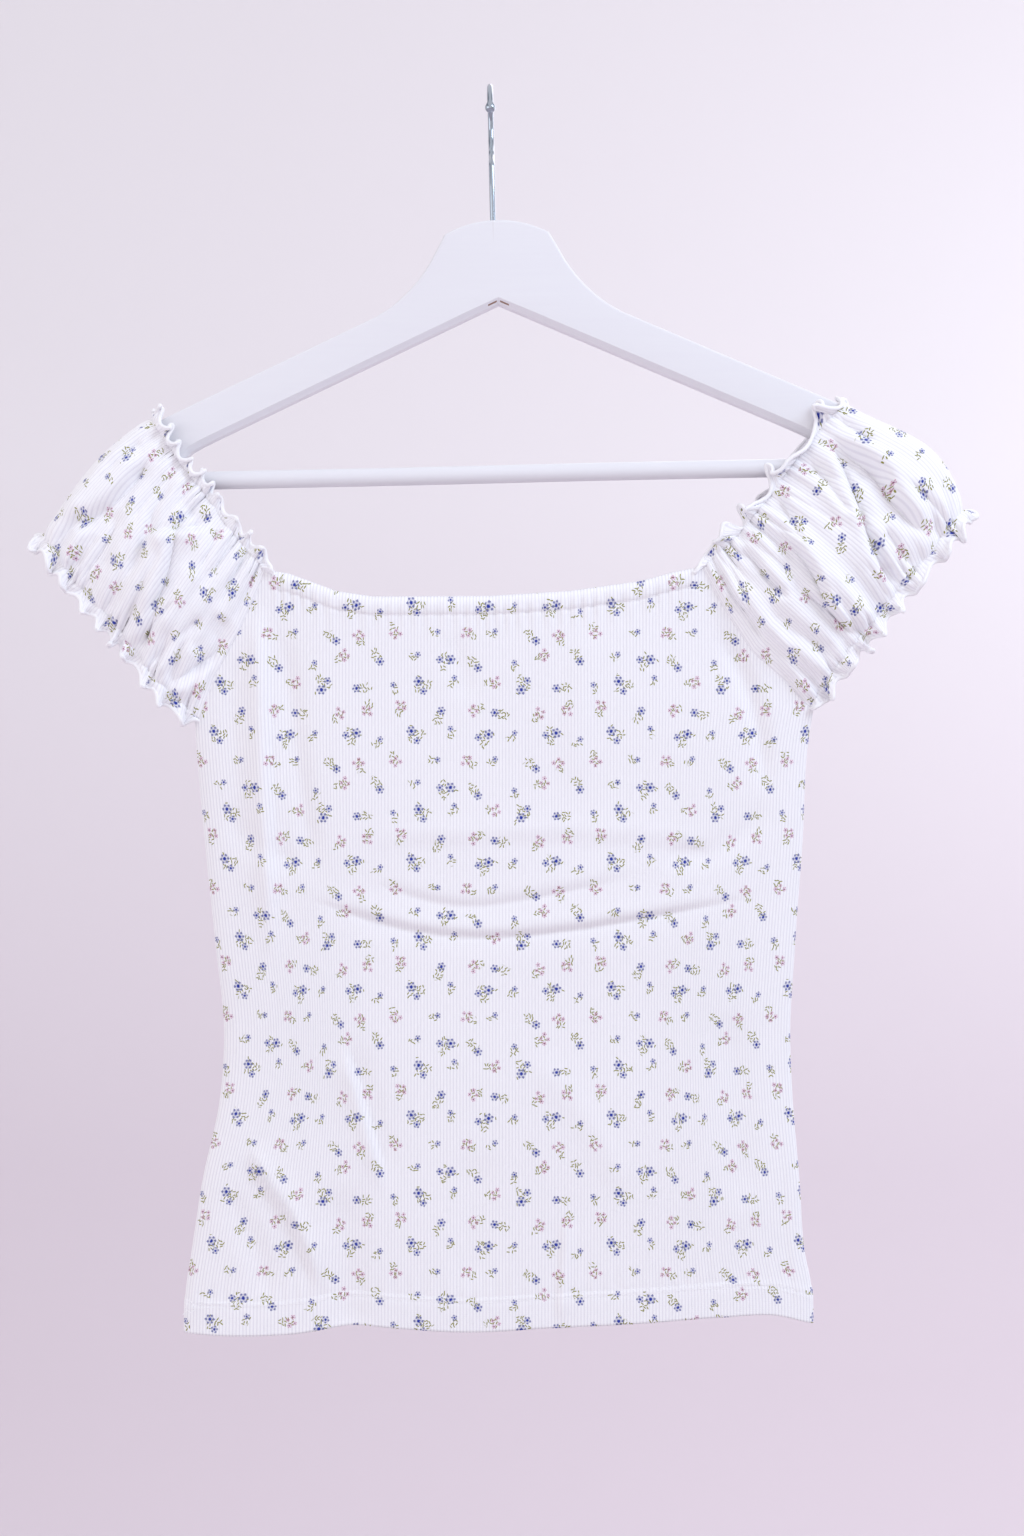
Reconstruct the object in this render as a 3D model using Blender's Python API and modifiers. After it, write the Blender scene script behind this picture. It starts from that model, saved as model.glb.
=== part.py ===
"""Off-shoulder rib-knit top with gathered puff sleeves, hanging on a wooden hanger.

Metres, +Z up, seen from the front along +Y. The origin is the top of the rail, where the hook's crown rests.
"""

import math

import bpy
import numpy as np
from mathutils import Matrix, Vector

MM = 0.001
FRONT, BACK = -1, 1

# Cloth
CLOTH = 1.2 * MM
HEM_THICKNESS = 2.2 * MM
CASING_THICKNESS = 2.8 * MM
HEM_DEPTH = 20 * MM
CASING_DEPTH = 10 * MM
STITCH_STEP = 1.2 * MM
SEAM_GAP = 0.3 * MM
SEAM_CLEARANCE = 1.6 * MM

# Body
BODY_COLUMNS = 25
BODY_ROWS = 10
SIDE_COLUMNS = (0, 0.004, 0.012, 0.024, 0.042)
SIDES_END = 0.068
SECTION_SAMPLES = 721
SECTION_POWER = 3.0
SECTION_ASPECT = 0.066
UNDERARM_SHARE = 0.985
BACK_DROP = 2.5 * MM
BACK_HEM_RISE = 1 * MM
CASING_REACH = 1.35 * CASING_DEPTH
CASING_END = 3 * MM

# Sleeves
WAVES = 20
COLUMNS_PER_WAVE = 4
WAVE_UNEVENNESS = 0.3
NECK_RUFFLE = 5.5 * MM
RUFFLE_GAIN = 0.2
CUFF_RUFFLE = 9 * MM
RUFFLE_FLARE = 2.4 * MM
FOLD_RADIUS = 9.5 * MM
HALF_SLEEVE = 120 * MM
SLEEVE_STATIONS = (-1, -0.45, 0, 0.07, 0.16, 0.28, 0.42, 0.56, 0.7, 0.82, 0.92, 1, 1.45, 2)

# Hanger
WOOD_THICKNESS = 14 * MM
WOOD_ROUNDING = 3.5 * MM
ARM_ANGLE = math.radians(24.3)
HANGER_TILT = math.radians(1.3)
WOOD_SHIFT = 2.2 * MM
HANGER_TOP = -78.7 * MM
HANGER_APEX = -128.4 * MM
TOP_ARC_HALF_WIDTH = 31.2 * MM
TOP_ARC_RISE = 8 * MM
ARM_START = (73.2 * MM, -134.8 * MM)
ARM_BEND = 200 * MM
ARM_BEND_DROP = 7 * MM
ARM_TIP = 224 * MM
BAR_HEIGHT = -229.8 * MM
BAR_RADIUS = 5.4 * MM
BAR_HALF_LENGTH = 203 * MM
SOCKET_CLEARANCE = 0.3 * MM
SOCKET_START = 180 * MM
WIRE_RADIUS = 1.75 * MM
HOOK_RADIUS = 18 * MM + WIRE_RADIUS
HOOK_BALL_RADIUS = 3.1 * MM
HOOK_BALL_SINK = 1.5 * MM
HOOK_SWAY_LENGTH = 12 * MM
HOOK_STRAIGHT_FROM = -60 * MM
HOOK_DEPTH_IN_WOOD = 22 * MM
HOOK_TIP_ANGLE = math.radians(169)
HOOK_BACK_ANGLE = math.radians(-52)


def table(columns, *rows):
    """A short table of millimetres as a dict: column name to its numbers in metres."""
    return {name: np.array(values, float) * MM for name, values in zip(columns.split(), zip(*rows))}


BODY_SIDES = table(
    "z left right",
    (-738, -182.4, 192.9),
    (-719, -181.8, 192.5),
    (-695, -178.2, 188.0),
    (-653, -171.6, 185.0),
    (-605, -161.4, 181.0),
    (-564, -158.8, 179.4),
    (-515, -163.5, 182.0),
    (-453, -170.1, 186.6),
    (-387, -175.6, 190.5),
    (-370, -176.5, 193.5),
)
BODY_DEPTH = table(
    "z half",
    (-740, 11.5),
    (-640, 12.5),
    (-545, 12.0),
    (-450, 12.5),
    (-372, 12.0),
    (-290, 10.0),
)
TOP_EDGE = table(
    "x z",
    (-174.0, -378.0),
    (-165.0, -352.0),
    (-150.0, -324.0),
    (-134.0, -293.5),
    (-120.0, -292.5),
    (-107.0, -298.0),
    (-92.0, -302.5),
    (-70.0, -304.8),
    (0.0, -304.4),
    (47.0, -301.5),
    (90.0, -295.5),
    (108.0, -290.5),
    (127.0, -286.5),
    (139.0, -309.0),
    (157.0, -337.0),
    (177.0, -355.0),
    (190.0, -369.5),
)
NECK_LEFT, NECK_RIGHT = -134 * MM, 127 * MM
HEM_EDGE = table(
    "x z",
    (-182, -743.0),
    (-150, -744.3),
    (-113, -742.6),
    (-82, -737.6),
    (-50, -739.4),
    (-15, -741.2),
    (35, -738.8),
    (90, -736.0),
    (140, -732.7),
    (172, -732.4),
    (193, -738.0),
)
MIDDLE_HEIGHT = TOP_EDGE["z"][8] - HEM_EDGE["z"][6]
# The hanger's right half: the hollow curve from its top to the arm, the arm's upper edge, its round tip, and the
# straight lower edge back to the apex.
SHOULDER = table(
    "x z",
    (31.2, -87.0),
    (35.8, -94.8),
    (40.3, -103.1),
    (46.7, -112.3),
    (54.1, -120.6),
    (62.4, -127.9),
    (73.2, -134.8),
)
SHOULDER_FROM = 34 * MM
ARM_PLACES = table("x", (110,), (150,), (185,), (200,), (208,), (215,), (220,))
TIP = table(
    "x z",
    (224, -213.5),
    (224, -224),
    (221, -234),
    (214, -240.5),
    (206, -242),
    (199.5, -240),
    (195.5, -233.5),
    (193.5, -225.5),
    (191, -218.5),
    (186, -213.2),
    (179, -209.4),
    (168, -204.3),
)
UNDER_PLACES = table("x", (150,), (75,), (0,))
# Soft folds of the body: a line from (x1, z1) to (x2, z2), bowed sideways, raised by height over a width.
BODY_FOLDS = {
    FRONT: table(
        "x1 z1 x2 z2 bow height width",
        (-110, -478, 185, -478, -24, -3.2, 11),
        (-100, -560, -55, -625, 8, 3.0, 15),
        (-150, -640, -95, -725, 6, -2.6, 14),
        (-137, -330, -139, -560, 0, 2.2, 10),
        (150, -330, 152, -600, 0, -2.4, 13),
        (172, -640, 173, -745, 0, -3.4, 8),
        (-88, -660, -82, -745, 0, -2.8, 16),
    ),
    BACK: table(
        "x1 z1 x2 z2 bow height width",
        (-170, -486, 120, -492, -20, -3.0, 12),
        (60, -570, 105, -640, 8, 2.8, 15),
        (110, -640, 150, -728, 6, -2.4, 14),
        (140, -330, 142, -560, 0, 2.2, 10),
        (-145, -330, -146, -590, 0, -2.2, 13),
        (20, -650, 24, -745, 0, -2.6, 16),
    ),
}
SLEEVE_EDGES = {
    "left": {
        "neck": table("x z", (-134, -293), (-150, -272), (-170, -243.5), (-187, -220.5), (-202, -197)),
        "cuff": table("x z", (-173, -378), (-199, -352), (-221, -322), (-245, -296), (-266, -266)),
        "fold_bow": 6.8 * MM,
        "bow_power": 0.85,
    },
    "right": {
        "neck": table("x z", (127, -287), (145, -270), (163, -248.5), (186, -217), (212, -186.6)),
        "cuff": table("x z", (190, -370), (209, -341), (231, -314), (257, -283), (282, -251.5)),
        "fold_bow": 14.2 * MM,
        "bow_power": 1.4,
    },
}
# How far a sleeve stands off the middle plane, at shares of the way from the neck elastic to the cuff elastic.
SLEEVE_FULLNESS = {"share": (0, 0.1, 0.3, 0.5, 0.7, 0.9, 1), "fold": (0, 0.6, 1.5, 2, 2, 1.2, 0.5)}
SLEEVE_FULLNESS["puff"] = (1.0, 5.5, 10.5, 12.5, 12, 7, 3)
# Height of the gathers at each station, from the neck ruffle's edge to the cuff ruffle's edge, in millimetres.
GATHERS = {"station": (-1, -0.45, 0, 0.07, 0.16, 0.3, 0.5, 0.75, 0.88, 0.94, 1, 1.45, 2)}
GATHERS["height"] = (3.0, 1.9, 0.9, 1.8, 1.6, 0.9, 0.5, 0.9, 1.7, 2.0, 1.0, 2.6, 4.0)
# Creases of a sleeve: share of the way from the seam to the fold at the neck end and at the cuff end, first and
# last share of the length, and depth and width in millimetres. A negative depth is a ridge.
CREASE_COLUMNS = ("neck", "cuff", "first", "last", "depth", "width")
SLEEVE_CREASES = {
    ("left", FRONT): (
        (0.90, 0.86, 0.10, 0.90, 3.6, 6),
        (0.71, 0.58, 0.00, 0.95, 5.2, 6),
        (0.53, 0.41, 0.20, 1.00, 4.4, 6),
        (0.22, 0.52, 0.00, 0.40, 3.2, 6),
        (0.00, 0.24, 0.35, 1.00, 3.6, 6),
    ),
    ("left", BACK): (
        (0.88, 0.84, 0.10, 0.90, 3.4, 6),
        (0.66, 0.62, 0.00, 0.90, 5.0, 6),
        (0.46, 0.38, 0.10, 1.00, 4.2, 6),
        (0.24, 0.18, 0.00, 0.85, 3.4, 6),
    ),
    ("right", FRONT): (
        (0.87, 0.82, 0.05, 1.00, 4.6, 6),
        (0.78, 0.58, 0.00, 1.00, 4.6, 6),
        (0.43, 0.34, 0.00, 1.00, 5.0, 6),
        (0.26, 0.30, 0.00, 0.40, 2.8, 6),
        (0.13, 0.12, 0.05, 0.95, -3.2, 6),
    ),
    ("right", BACK): (
        (0.88, 0.80, 0.10, 0.95, 4.2, 6),
        (0.64, 0.60, 0.00, 1.00, 4.8, 6),
        (0.44, 0.30, 0.05, 1.00, 4.4, 6),
        (0.20, 0.16, 0.00, 0.80, 3.0, 6),
    ),
}


def curve(xs, ys, x):
    """A smooth curve through the points (xs, ys), read at x: a Hermite spline with Catmull-Rom slopes."""
    xs, ys = np.asarray(xs, float), np.asarray(ys, float)
    slopes = np.gradient(ys, xs)
    i = np.clip(np.searchsorted(xs, x) - 1, 0, len(xs) - 2)
    step = xs[i + 1] - xs[i]
    t = np.clip((x - xs[i]) / step, 0, 1)
    start = (1 + 2 * t) * (1 - t) ** 2 * ys[i] + t * (1 - t) ** 2 * step * slopes[i]
    end = t**2 * (3 - 2 * t) * ys[i + 1] - t**2 * (1 - t) * step * slopes[i + 1]
    return start + end


def smooth(x):
    """0 below 0, 1 above 1, and an even rise between."""
    x = np.clip(x, 0, 1)
    return x * x * (3 - 2 * x)


def new_material(name, colour, roughness, metallic=0.0):
    """A Principled material with one plain finish."""
    made = bpy.data.materials.new(name)
    made.use_nodes = True
    shader = made.node_tree.nodes["Principled BSDF"]
    shader.inputs["Base Color"].default_value = (*colour, 1)
    shader.inputs["Roughness"].default_value = roughness
    shader.inputs["Metallic"].default_value = metallic
    return made


def put_in(collection, made):
    """Moves an object to a collection."""
    for old in list(made.users_collection):
        old.objects.unlink(made)
    collection.objects.link(made)
    return made


def cloth_wall(name, us, vs, place, weigh, collection, material):
    """A panel of cloth: a grid whose points place(u, v) sets, given its thickness by Solidify."""
    bpy.ops.mesh.primitive_grid_add(x_subdivisions=len(us) - 1, y_subdivisions=len(vs) - 1, size=1)
    panel = bpy.context.object
    panel.name = name
    flat = np.array([v.co[:2] for v in panel.data.vertices]) + 0.5
    column = np.rint(flat[:, 0] * (len(us) - 1)).astype(int)
    row = np.rint(flat[:, 1] * (len(vs) - 1)).astype(int)
    points = place(np.asarray(us, float)[:, None], np.asarray(vs, float)[None, :])
    panel.data.vertices.foreach_set("co", points[column, row].ravel())
    thickness = weigh(points)[column, row]
    group = panel.vertex_groups.new(name="thickness")
    for i, share in enumerate(thickness / CASING_THICKNESS):
        group.add([i], float(share), "REPLACE")
    wall = panel.modifiers.new("wall", "SOLIDIFY")
    wall.thickness = CASING_THICKNESS
    wall.offset = 0
    wall.use_even_offset = True
    wall.vertex_group = group.name
    panel.data.update()
    panel.data.materials.append(material)
    return put_in(collection, panel)


# The body


def section(u):
    """Where a share u of the way round half the body's section lies: (across -1 to 1, depth 0 to 1)."""
    angle = np.linspace(math.pi, 0, SECTION_SAMPLES)
    across = np.sign(np.cos(angle)) * np.abs(np.cos(angle)) ** (2 / SECTION_POWER)
    depth = np.abs(np.sin(angle)) ** (2 / SECTION_POWER)
    steps = np.hypot(np.diff(across), np.diff(depth) * SECTION_ASPECT)
    along = np.concatenate([[0], np.cumsum(steps)])
    along /= along[-1]
    return np.interp(u, along, across), np.interp(u, along, depth)


def side_edges(z):
    """The left and right edges of the body at a height."""
    return curve(BODY_SIDES["z"], BODY_SIDES["left"], z), curve(BODY_SIDES["z"], BODY_SIDES["right"], z)


def body_folds(x, z, face):
    """How far the soft folds move the cloth outwards."""
    moved = np.zeros_like(x)
    rows = BODY_FOLDS[face]
    for x1, z1, x2, z2, bow, height, width in zip(*rows.values()):
        length = math.hypot(x2 - x1, z2 - z1)
        ax, az = (x2 - x1) / length, (z2 - z1) / length
        along = ((x - x1) * ax + (z - z1) * az) / length
        off = (x - x1) * -az + (z - z1) * ax - bow * (1 - (2 * along - 1) ** 2)
        ends = smooth(along / 0.25) * smooth((1 - along) / 0.25)
        moved += height * ends * np.exp(-((off / width) ** 2))
    return moved


def body_y(across_depth, x, z, face):
    """The cloth's distance from the middle plane, signed, at a place on the body."""
    half = curve(BODY_DEPTH["z"], BODY_DEPTH["half"], z)
    flat_share = smooth((across_depth - 0.45) / 0.35)
    return face * (SEAM_GAP / 2 + half * across_depth + body_folds(x, z, face) * flat_share)


def top_edge(x):
    """The height of the body's top edge: the neckline, and the raglan seams beside it."""
    return np.interp(x, TOP_EDGE["x"], TOP_EDGE["z"])


def body_place(u, v, face):
    """Points of a body panel, u from the left side seam to the right one, v from the hem to the top edge."""
    across, depth = section(u)
    left, right = side_edges(np.array(BODY_SIDES["z"][-1]))
    reference = left + (right - left) * (across + 1) / 2
    top = top_edge(reference) - (BACK_DROP if face == BACK else 0)
    hem = curve(HEM_EDGE["x"], HEM_EDGE["z"], reference) + (BACK_HEM_RISE if face == BACK else 0)
    z = hem + (top - hem) * v
    left, right = side_edges(z)
    x = left + (right - left) * (across + 1) / 2
    return np.stack([x, body_y(depth + 0 * z, x, z, face), z + 0 * x], axis=-1)


def body_columns():
    """Shares of the way across for the panel's columns, close together where it turns round at the sides."""
    sides = np.array(SIDE_COLUMNS)
    middle = np.linspace(SIDES_END, 1 - SIDES_END, BODY_COLUMNS)
    return np.concatenate([sides, middle, 1 - sides[::-1]])


def body_rows():
    """Shares of the height for the panel's rows, close together at the stitch lines of the hem and the casing."""
    hem, casing = HEM_DEPTH / MIDDLE_HEIGHT, CASING_DEPTH / MIDDLE_HEIGHT
    step = STITCH_STEP / MIDDLE_HEIGHT
    between = np.linspace(hem + step, 1 - casing - step, BODY_ROWS + 2)[1:-1]
    return [0, hem / 2, hem, hem + step, *between, 1 - casing - step, 1 - casing, 1 - casing / 2, 1]


def body_thickness(points):
    """Cloth is doubled at the hem, and doubled over elastic at the neck casing."""
    x, z = points[..., 0], points[..., 2]
    wall = np.full(x.shape, CLOTH)
    hem_top = z[:, :1] + HEM_DEPTH + STITCH_STEP / 2
    wall[z < hem_top] = HEM_THICKNESS
    casing_bottom = z[:, -1:] - CASING_REACH
    at_neck = (x > NECK_LEFT + CASING_END) & (x < NECK_RIGHT - CASING_END)
    wall[(z > casing_bottom) & at_neck] = CASING_THICKNESS
    return wall


# The sleeves


def seam_points(side, face, share):
    """Points along a raglan seam, from the neckline (share 0) to the underarm (share 1)."""
    left, right = side_edges(np.array(BODY_SIDES["z"][-1]))
    middle, half = (left + right) / 2, (right - left) / 2
    if side == "left":
        x = NECK_LEFT + (middle - UNDERARM_SHARE * half - NECK_LEFT) * share
    else:
        x = NECK_RIGHT + (middle + UNDERARM_SHARE * half - NECK_RIGHT) * share
    z = top_edge(x) - (BACK_DROP if face == BACK else 0)
    across = (x - middle) / half
    depth = (1 - np.abs(across) ** SECTION_POWER) ** (1 / SECTION_POWER)
    return np.stack([x, body_y(depth, x, z, face), z], axis=-1)


def over_the_fold(h):
    """From the seam (0) to the top fold (1): the share of the way across the plane, and the fold's rounding."""
    flat = 1 - FOLD_RADIUS / HALF_SLEEVE
    arc = flat + math.pi / 2 * FOLD_RADIUS / HALF_SLEEVE
    turn = np.clip((h * arc - flat) * HALF_SLEEVE / FOLD_RADIUS, 0, math.pi / 2)
    across = np.where(h * arc < flat, h * arc, flat + np.sin(turn) * FOLD_RADIUS / HALF_SLEEVE)
    return across, np.cos(turn)


def edge_line(edge, share):
    """Points of a gathered edge in the plane."""
    shares = np.linspace(0, 1, len(edge["x"]))
    return np.stack([curve(shares, edge["x"], share), curve(shares, edge["z"], share)], axis=-1)


def wave_phase(count, unevenness):
    """The share of the way round at which each whole wave starts: uneven, as gathers are."""
    widths = 1 + unevenness * np.sin(2.4 * np.arange(count) + 0.8)
    return np.concatenate([[0], np.cumsum(widths)]) / widths.sum()


def crease_depth(side, face, across, length_share):
    """How far the creases move the cloth inwards: each a narrow valley with a soft ridge beside it."""
    moved = np.zeros(np.broadcast(across, length_share).shape)
    for row in SLEEVE_CREASES[side, face]:
        c = dict(zip(CREASE_COLUMNS, row))
        line = c["neck"] + (c["cuff"] - c["neck"]) * length_share
        off = (across - line) * HALF_SLEEVE
        width = c["width"] * MM
        ends = smooth((length_share - c["first"]) / 0.12) * smooth((c["last"] - length_share) / 0.12)
        shape = np.exp(-((off / width) ** 2)) - 0.55 * np.exp(-(((off - 1.9 * width) / (1.3 * width)) ** 2))
        moved += c["depth"] * MM * ends * shape
    return moved


def sleeve_place(u, t, side):
    """Points of a sleeve: u from the front raglan seam over the fold to the back one, and t from -1 at the neck
    ruffle's edge, through 0 and 1 at the elastics, to 2 at the cuff ruffle's edge."""
    edges = SLEEVE_EDGES[side]
    u, t = np.broadcast_arrays(u, t)
    face = np.where(u <= 0.5, FRONT, BACK)
    across, rounding = over_the_fold(1 - np.abs(1 - 2 * u))
    length_share = np.clip(t, 0, 1)
    neck, cuff = edge_line(edges["neck"], across), edge_line(edges["cuff"], across)
    plane = neck + (cuff - neck) * length_share[..., None]
    seam = np.where(
        (face == FRONT)[..., None],
        seam_points(side, FRONT, length_share),
        seam_points(side, BACK, length_share),
    )
    away = -1 if side == "left" else 1
    start_neck, start_cuff = edge_line(edges["neck"], 0.0), edge_line(edges["cuff"], 0.0)
    straight = start_neck + (start_cuff - start_neck) * length_share[..., None]
    to_seam = seam[..., [0, 2]] - straight + np.array([away, 0]) * SEAM_CLEARANCE
    plane = plane + to_seam * ((1 - across) ** 3)[..., None]
    fold_line = edge_line(edges["cuff"], 1.0) - edge_line(edges["neck"], 1.0)
    outward = np.array([away * -fold_line[1], away * fold_line[0]]) / np.linalg.norm(fold_line)
    bow = edges["fold_bow"] * np.sin(math.pi * length_share ** edges["bow_power"]) * across**2
    plane = plane + outward * bow[..., None]
    shares = np.array(SLEEVE_FULLNESS["share"])
    fold = FOLD_RADIUS + np.interp(length_share, shares, SLEEVE_FULLNESS["fold"]) * MM
    puff = curve(shares, np.array(SLEEVE_FULLNESS["puff"]) * MM, length_share)
    seam_off = np.abs(seam[..., 1])
    off = seam_off + (fold - seam_off) * smooth(across / 0.25)
    off = off + puff * np.sin(math.pi * np.clip(across, 0, 1)) ** 0.8
    off = off + RUFFLE_FLARE * np.clip(-t, 0, 1) * smooth((across - 0.5) / 0.15)
    points = np.stack([plane[..., 0], face * off * rounding, plane[..., 1]], axis=-1)
    along = neck - cuff
    along = along / np.linalg.norm(along, axis=-1, keepdims=True)
    near_seam = smooth((1 - np.abs(1 - 2 * u)) / 0.06)
    past_neck = np.clip(-t, 0, 1) * NECK_RUFFLE * (1 + RUFFLE_GAIN * (1 - across) ** 2)
    past_cuff = np.clip(t - 1, 0, 1) * CUFF_RUFFLE * (0.35 + 0.65 * near_seam)
    points[..., 0] += along[..., 0] * (past_neck - past_cuff)
    points[..., 2] += along[..., 1] * (past_neck - past_cuff)
    return points + normals_of(points) * sleeve_relief(u, t, side, face, across, near_seam)[..., None]


def normals_of(points):
    """Unit normals of a grid of points, outwards on a sleeve."""
    around, along = np.gradient(points, axis=0), np.gradient(points, axis=1)
    found = np.cross(around, along)
    found /= np.linalg.norm(found, axis=-1, keepdims=True)
    middle = found.shape[0] // 4
    return found if found[middle, found.shape[1] // 2, 1] < 0 else -found


def sleeve_relief(u, t, side, face, across, near_seam):
    """Gathers and creases of a sleeve, outwards from its smooth form."""
    starts = wave_phase(WAVES, WAVE_UNEVENNESS if side == "left" else -WAVE_UNEVENNESS)
    wave = np.cos(2 * math.pi * np.interp(u, starts, np.arange(WAVES + 1)) + (0 if side == "left" else math.pi))
    number = np.interp(u, starts, np.arange(WAVES + 1))
    uneven = 1 + 0.25 * np.sin(1.7 * number + 0.4)
    gathers = curve(GATHERS["station"], np.array(GATHERS["height"]) * MM, t) * wave * uneven
    share = np.clip(t, 0, 1)
    creases = np.where(
        face == FRONT,
        crease_depth(side, FRONT, across, share),
        crease_depth(side, BACK, across, share),
    )
    inside = smooth(t / 0.1) * smooth((1 - t) / 0.1)
    top_calm = 1 - 0.6 * smooth((across - 0.6) / 0.12) * smooth((0.45 - t) / 0.2) * smooth((t + 0.3) / 0.3)
    return (gathers - creases * inside) * near_seam * top_calm


def sleeve_columns(side):
    """Shares of the way round for the columns, so many to each gather."""
    starts = wave_phase(WAVES, WAVE_UNEVENNESS if side == "left" else -WAVE_UNEVENNESS)
    quarter = np.arange(WAVES * COLUMNS_PER_WAVE + 1) / COLUMNS_PER_WAVE
    return np.interp(quarter, np.arange(WAVES + 1), starts)


# The hanger


def arm_top(x):
    """The height of the arm's top edge, straight until it curves down to its tip."""
    bend = np.clip((x - ARM_BEND) / (ARM_TIP - ARM_BEND), 0, 1)
    return ARM_START[1] - (x - ARM_START[0]) * math.tan(ARM_ANGLE) - ARM_BEND_DROP * bend**2


def hanger_outline():
    """The right half of the wood's outline, from the top middle round to the apex below."""
    radius = (TOP_ARC_HALF_WIDTH**2 + TOP_ARC_RISE**2) / (2 * TOP_ARC_RISE)
    arc_x = np.linspace(0, TOP_ARC_HALF_WIDTH, 6)
    shoulder_x = np.linspace(SHOULDER_FROM, ARM_START[0], 8)
    arm_x, under_x = ARM_PLACES["x"], UNDER_PLACES["x"]
    parts = (
        (arc_x, HANGER_TOP - radius + np.sqrt(radius**2 - arc_x**2)),
        (shoulder_x, curve(SHOULDER["x"], SHOULDER["z"], shoulder_x)),
        (arm_x, arm_top(arm_x)),
        (TIP["x"], TIP["z"]),
        (under_x, HANGER_APEX - under_x * math.tan(ARM_ANGLE)),
    )
    return np.concatenate([np.stack(part, axis=-1) for part in parts])


def make_wood(material, collection):
    """The hanger's body: its outline filled, mirrored, made thick and rounded."""
    outline = hanger_outline()
    mesh = bpy.data.meshes.new("hanger_body")
    mesh.from_pydata([(x, 0, z) for x, z in outline], [], [tuple(range(len(outline)))])
    wood = bpy.data.objects.new("hanger_body", mesh)
    wood.location.x = WOOD_SHIFT
    collection.objects.link(wood)
    mesh.materials.append(material)
    mirror = wood.modifiers.new("two arms", "MIRROR")
    mirror.merge_threshold = 0.0001
    thick = wood.modifiers.new("thickness", "SOLIDIFY")
    thick.thickness = WOOD_THICKNESS
    thick.offset = 0
    rounded = wood.modifiers.new("rounding", "BEVEL")
    rounded.width = WOOD_ROUNDING
    rounded.segments = 3
    rounded.angle_limit = math.radians(50)
    return wood


def cutter(name, radius, start, end, collection):
    """A cylinder between two points that a Boolean takes away."""
    length = (end - start).length
    bpy.ops.mesh.primitive_cylinder_add(vertices=16, radius=radius, depth=length)
    made = bpy.context.object
    made.name = name
    turn = (end - start).to_track_quat("Z", "Y").to_matrix().to_4x4()
    made.matrix_world = Matrix.Translation((start + end) / 2) @ turn
    made.hide_render = True
    made.display_type = "WIRE"
    return put_in(collection, made)


def cut(piece, tool):
    """Takes the tool out of the piece."""
    taken = piece.modifiers.new("hole for " + tool.name, "BOOLEAN")
    taken.operation = "DIFFERENCE"
    taken.object = tool


def make_bar(material, collection):
    """The round bar between the arms, its ends in their sockets."""
    bpy.ops.mesh.primitive_cylinder_add(
        vertices=24,
        radius=BAR_RADIUS,
        depth=2 * BAR_HALF_LENGTH,
        location=(WOOD_SHIFT, 0, BAR_HEIGHT),
        rotation=(0, math.pi / 2, 0),
    )
    bar = bpy.context.object
    bar.name = "hanger_bar"
    bar.data.materials.append(material)
    return put_in(collection, bar)


def hook_route():
    """Points of the hook's middle line, as (y, z, radius), from its ball end over the crown into the wood."""
    centre = -HOOK_RADIUS + WIRE_RADIUS
    tip_y = HOOK_RADIUS * math.cos(HOOK_TIP_ANGLE)
    tip_z = centre + HOOK_RADIUS * math.sin(HOOK_TIP_ANGLE)
    route = []
    for angle in np.linspace(math.pi, 0, 7)[1:-1]:
        reach = HOOK_BALL_RADIUS * math.cos(angle)
        radius = max(HOOK_BALL_RADIUS * math.sin(angle), HOOK_BALL_RADIUS / 8)
        route.append((tip_y, tip_z - HOOK_BALL_SINK + reach, radius))
    route = route[:4]
    for angle in np.linspace(HOOK_TIP_ANGLE - 0.1, HOOK_BACK_ANGLE, 22):
        route.append((HOOK_RADIUS * math.cos(angle), centre + HOOK_RADIUS * math.sin(angle), WIRE_RADIUS))
    back_y, back_z = route[-1][:2]
    low = back_z - HOOK_SWAY_LENGTH
    for share in np.linspace(0.15, 1, 7):
        sway = 1 - smooth(share)
        route.append((back_y * float(sway), back_z + (low - back_z) * share, WIRE_RADIUS))
    route.append((0, HOOK_STRAIGHT_FROM, WIRE_RADIUS))
    route.append((0, HANGER_TOP - HOOK_DEPTH_IN_WOOD, WIRE_RADIUS))
    return route


def make_hook(material, collection):
    """The wire hook, turned to face the front as it must be on a rail."""
    data = bpy.data.curves.new("hanger_hook", "CURVE")
    data.dimensions = "3D"
    data.bevel_depth = 1.0
    data.bevel_resolution = 2
    data.use_fill_caps = True
    wire = data.splines.new("POLY")
    route = hook_route()
    wire.points.add(len(route) - 1)
    for point, (y, z, radius) in zip(wire.points, route):
        point.co = (0, y, z, 1)
        point.radius = radius
    hook = bpy.data.objects.new("hanger_hook", data)
    collection.objects.link(hook)
    data.materials.append(material)
    return hook


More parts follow.
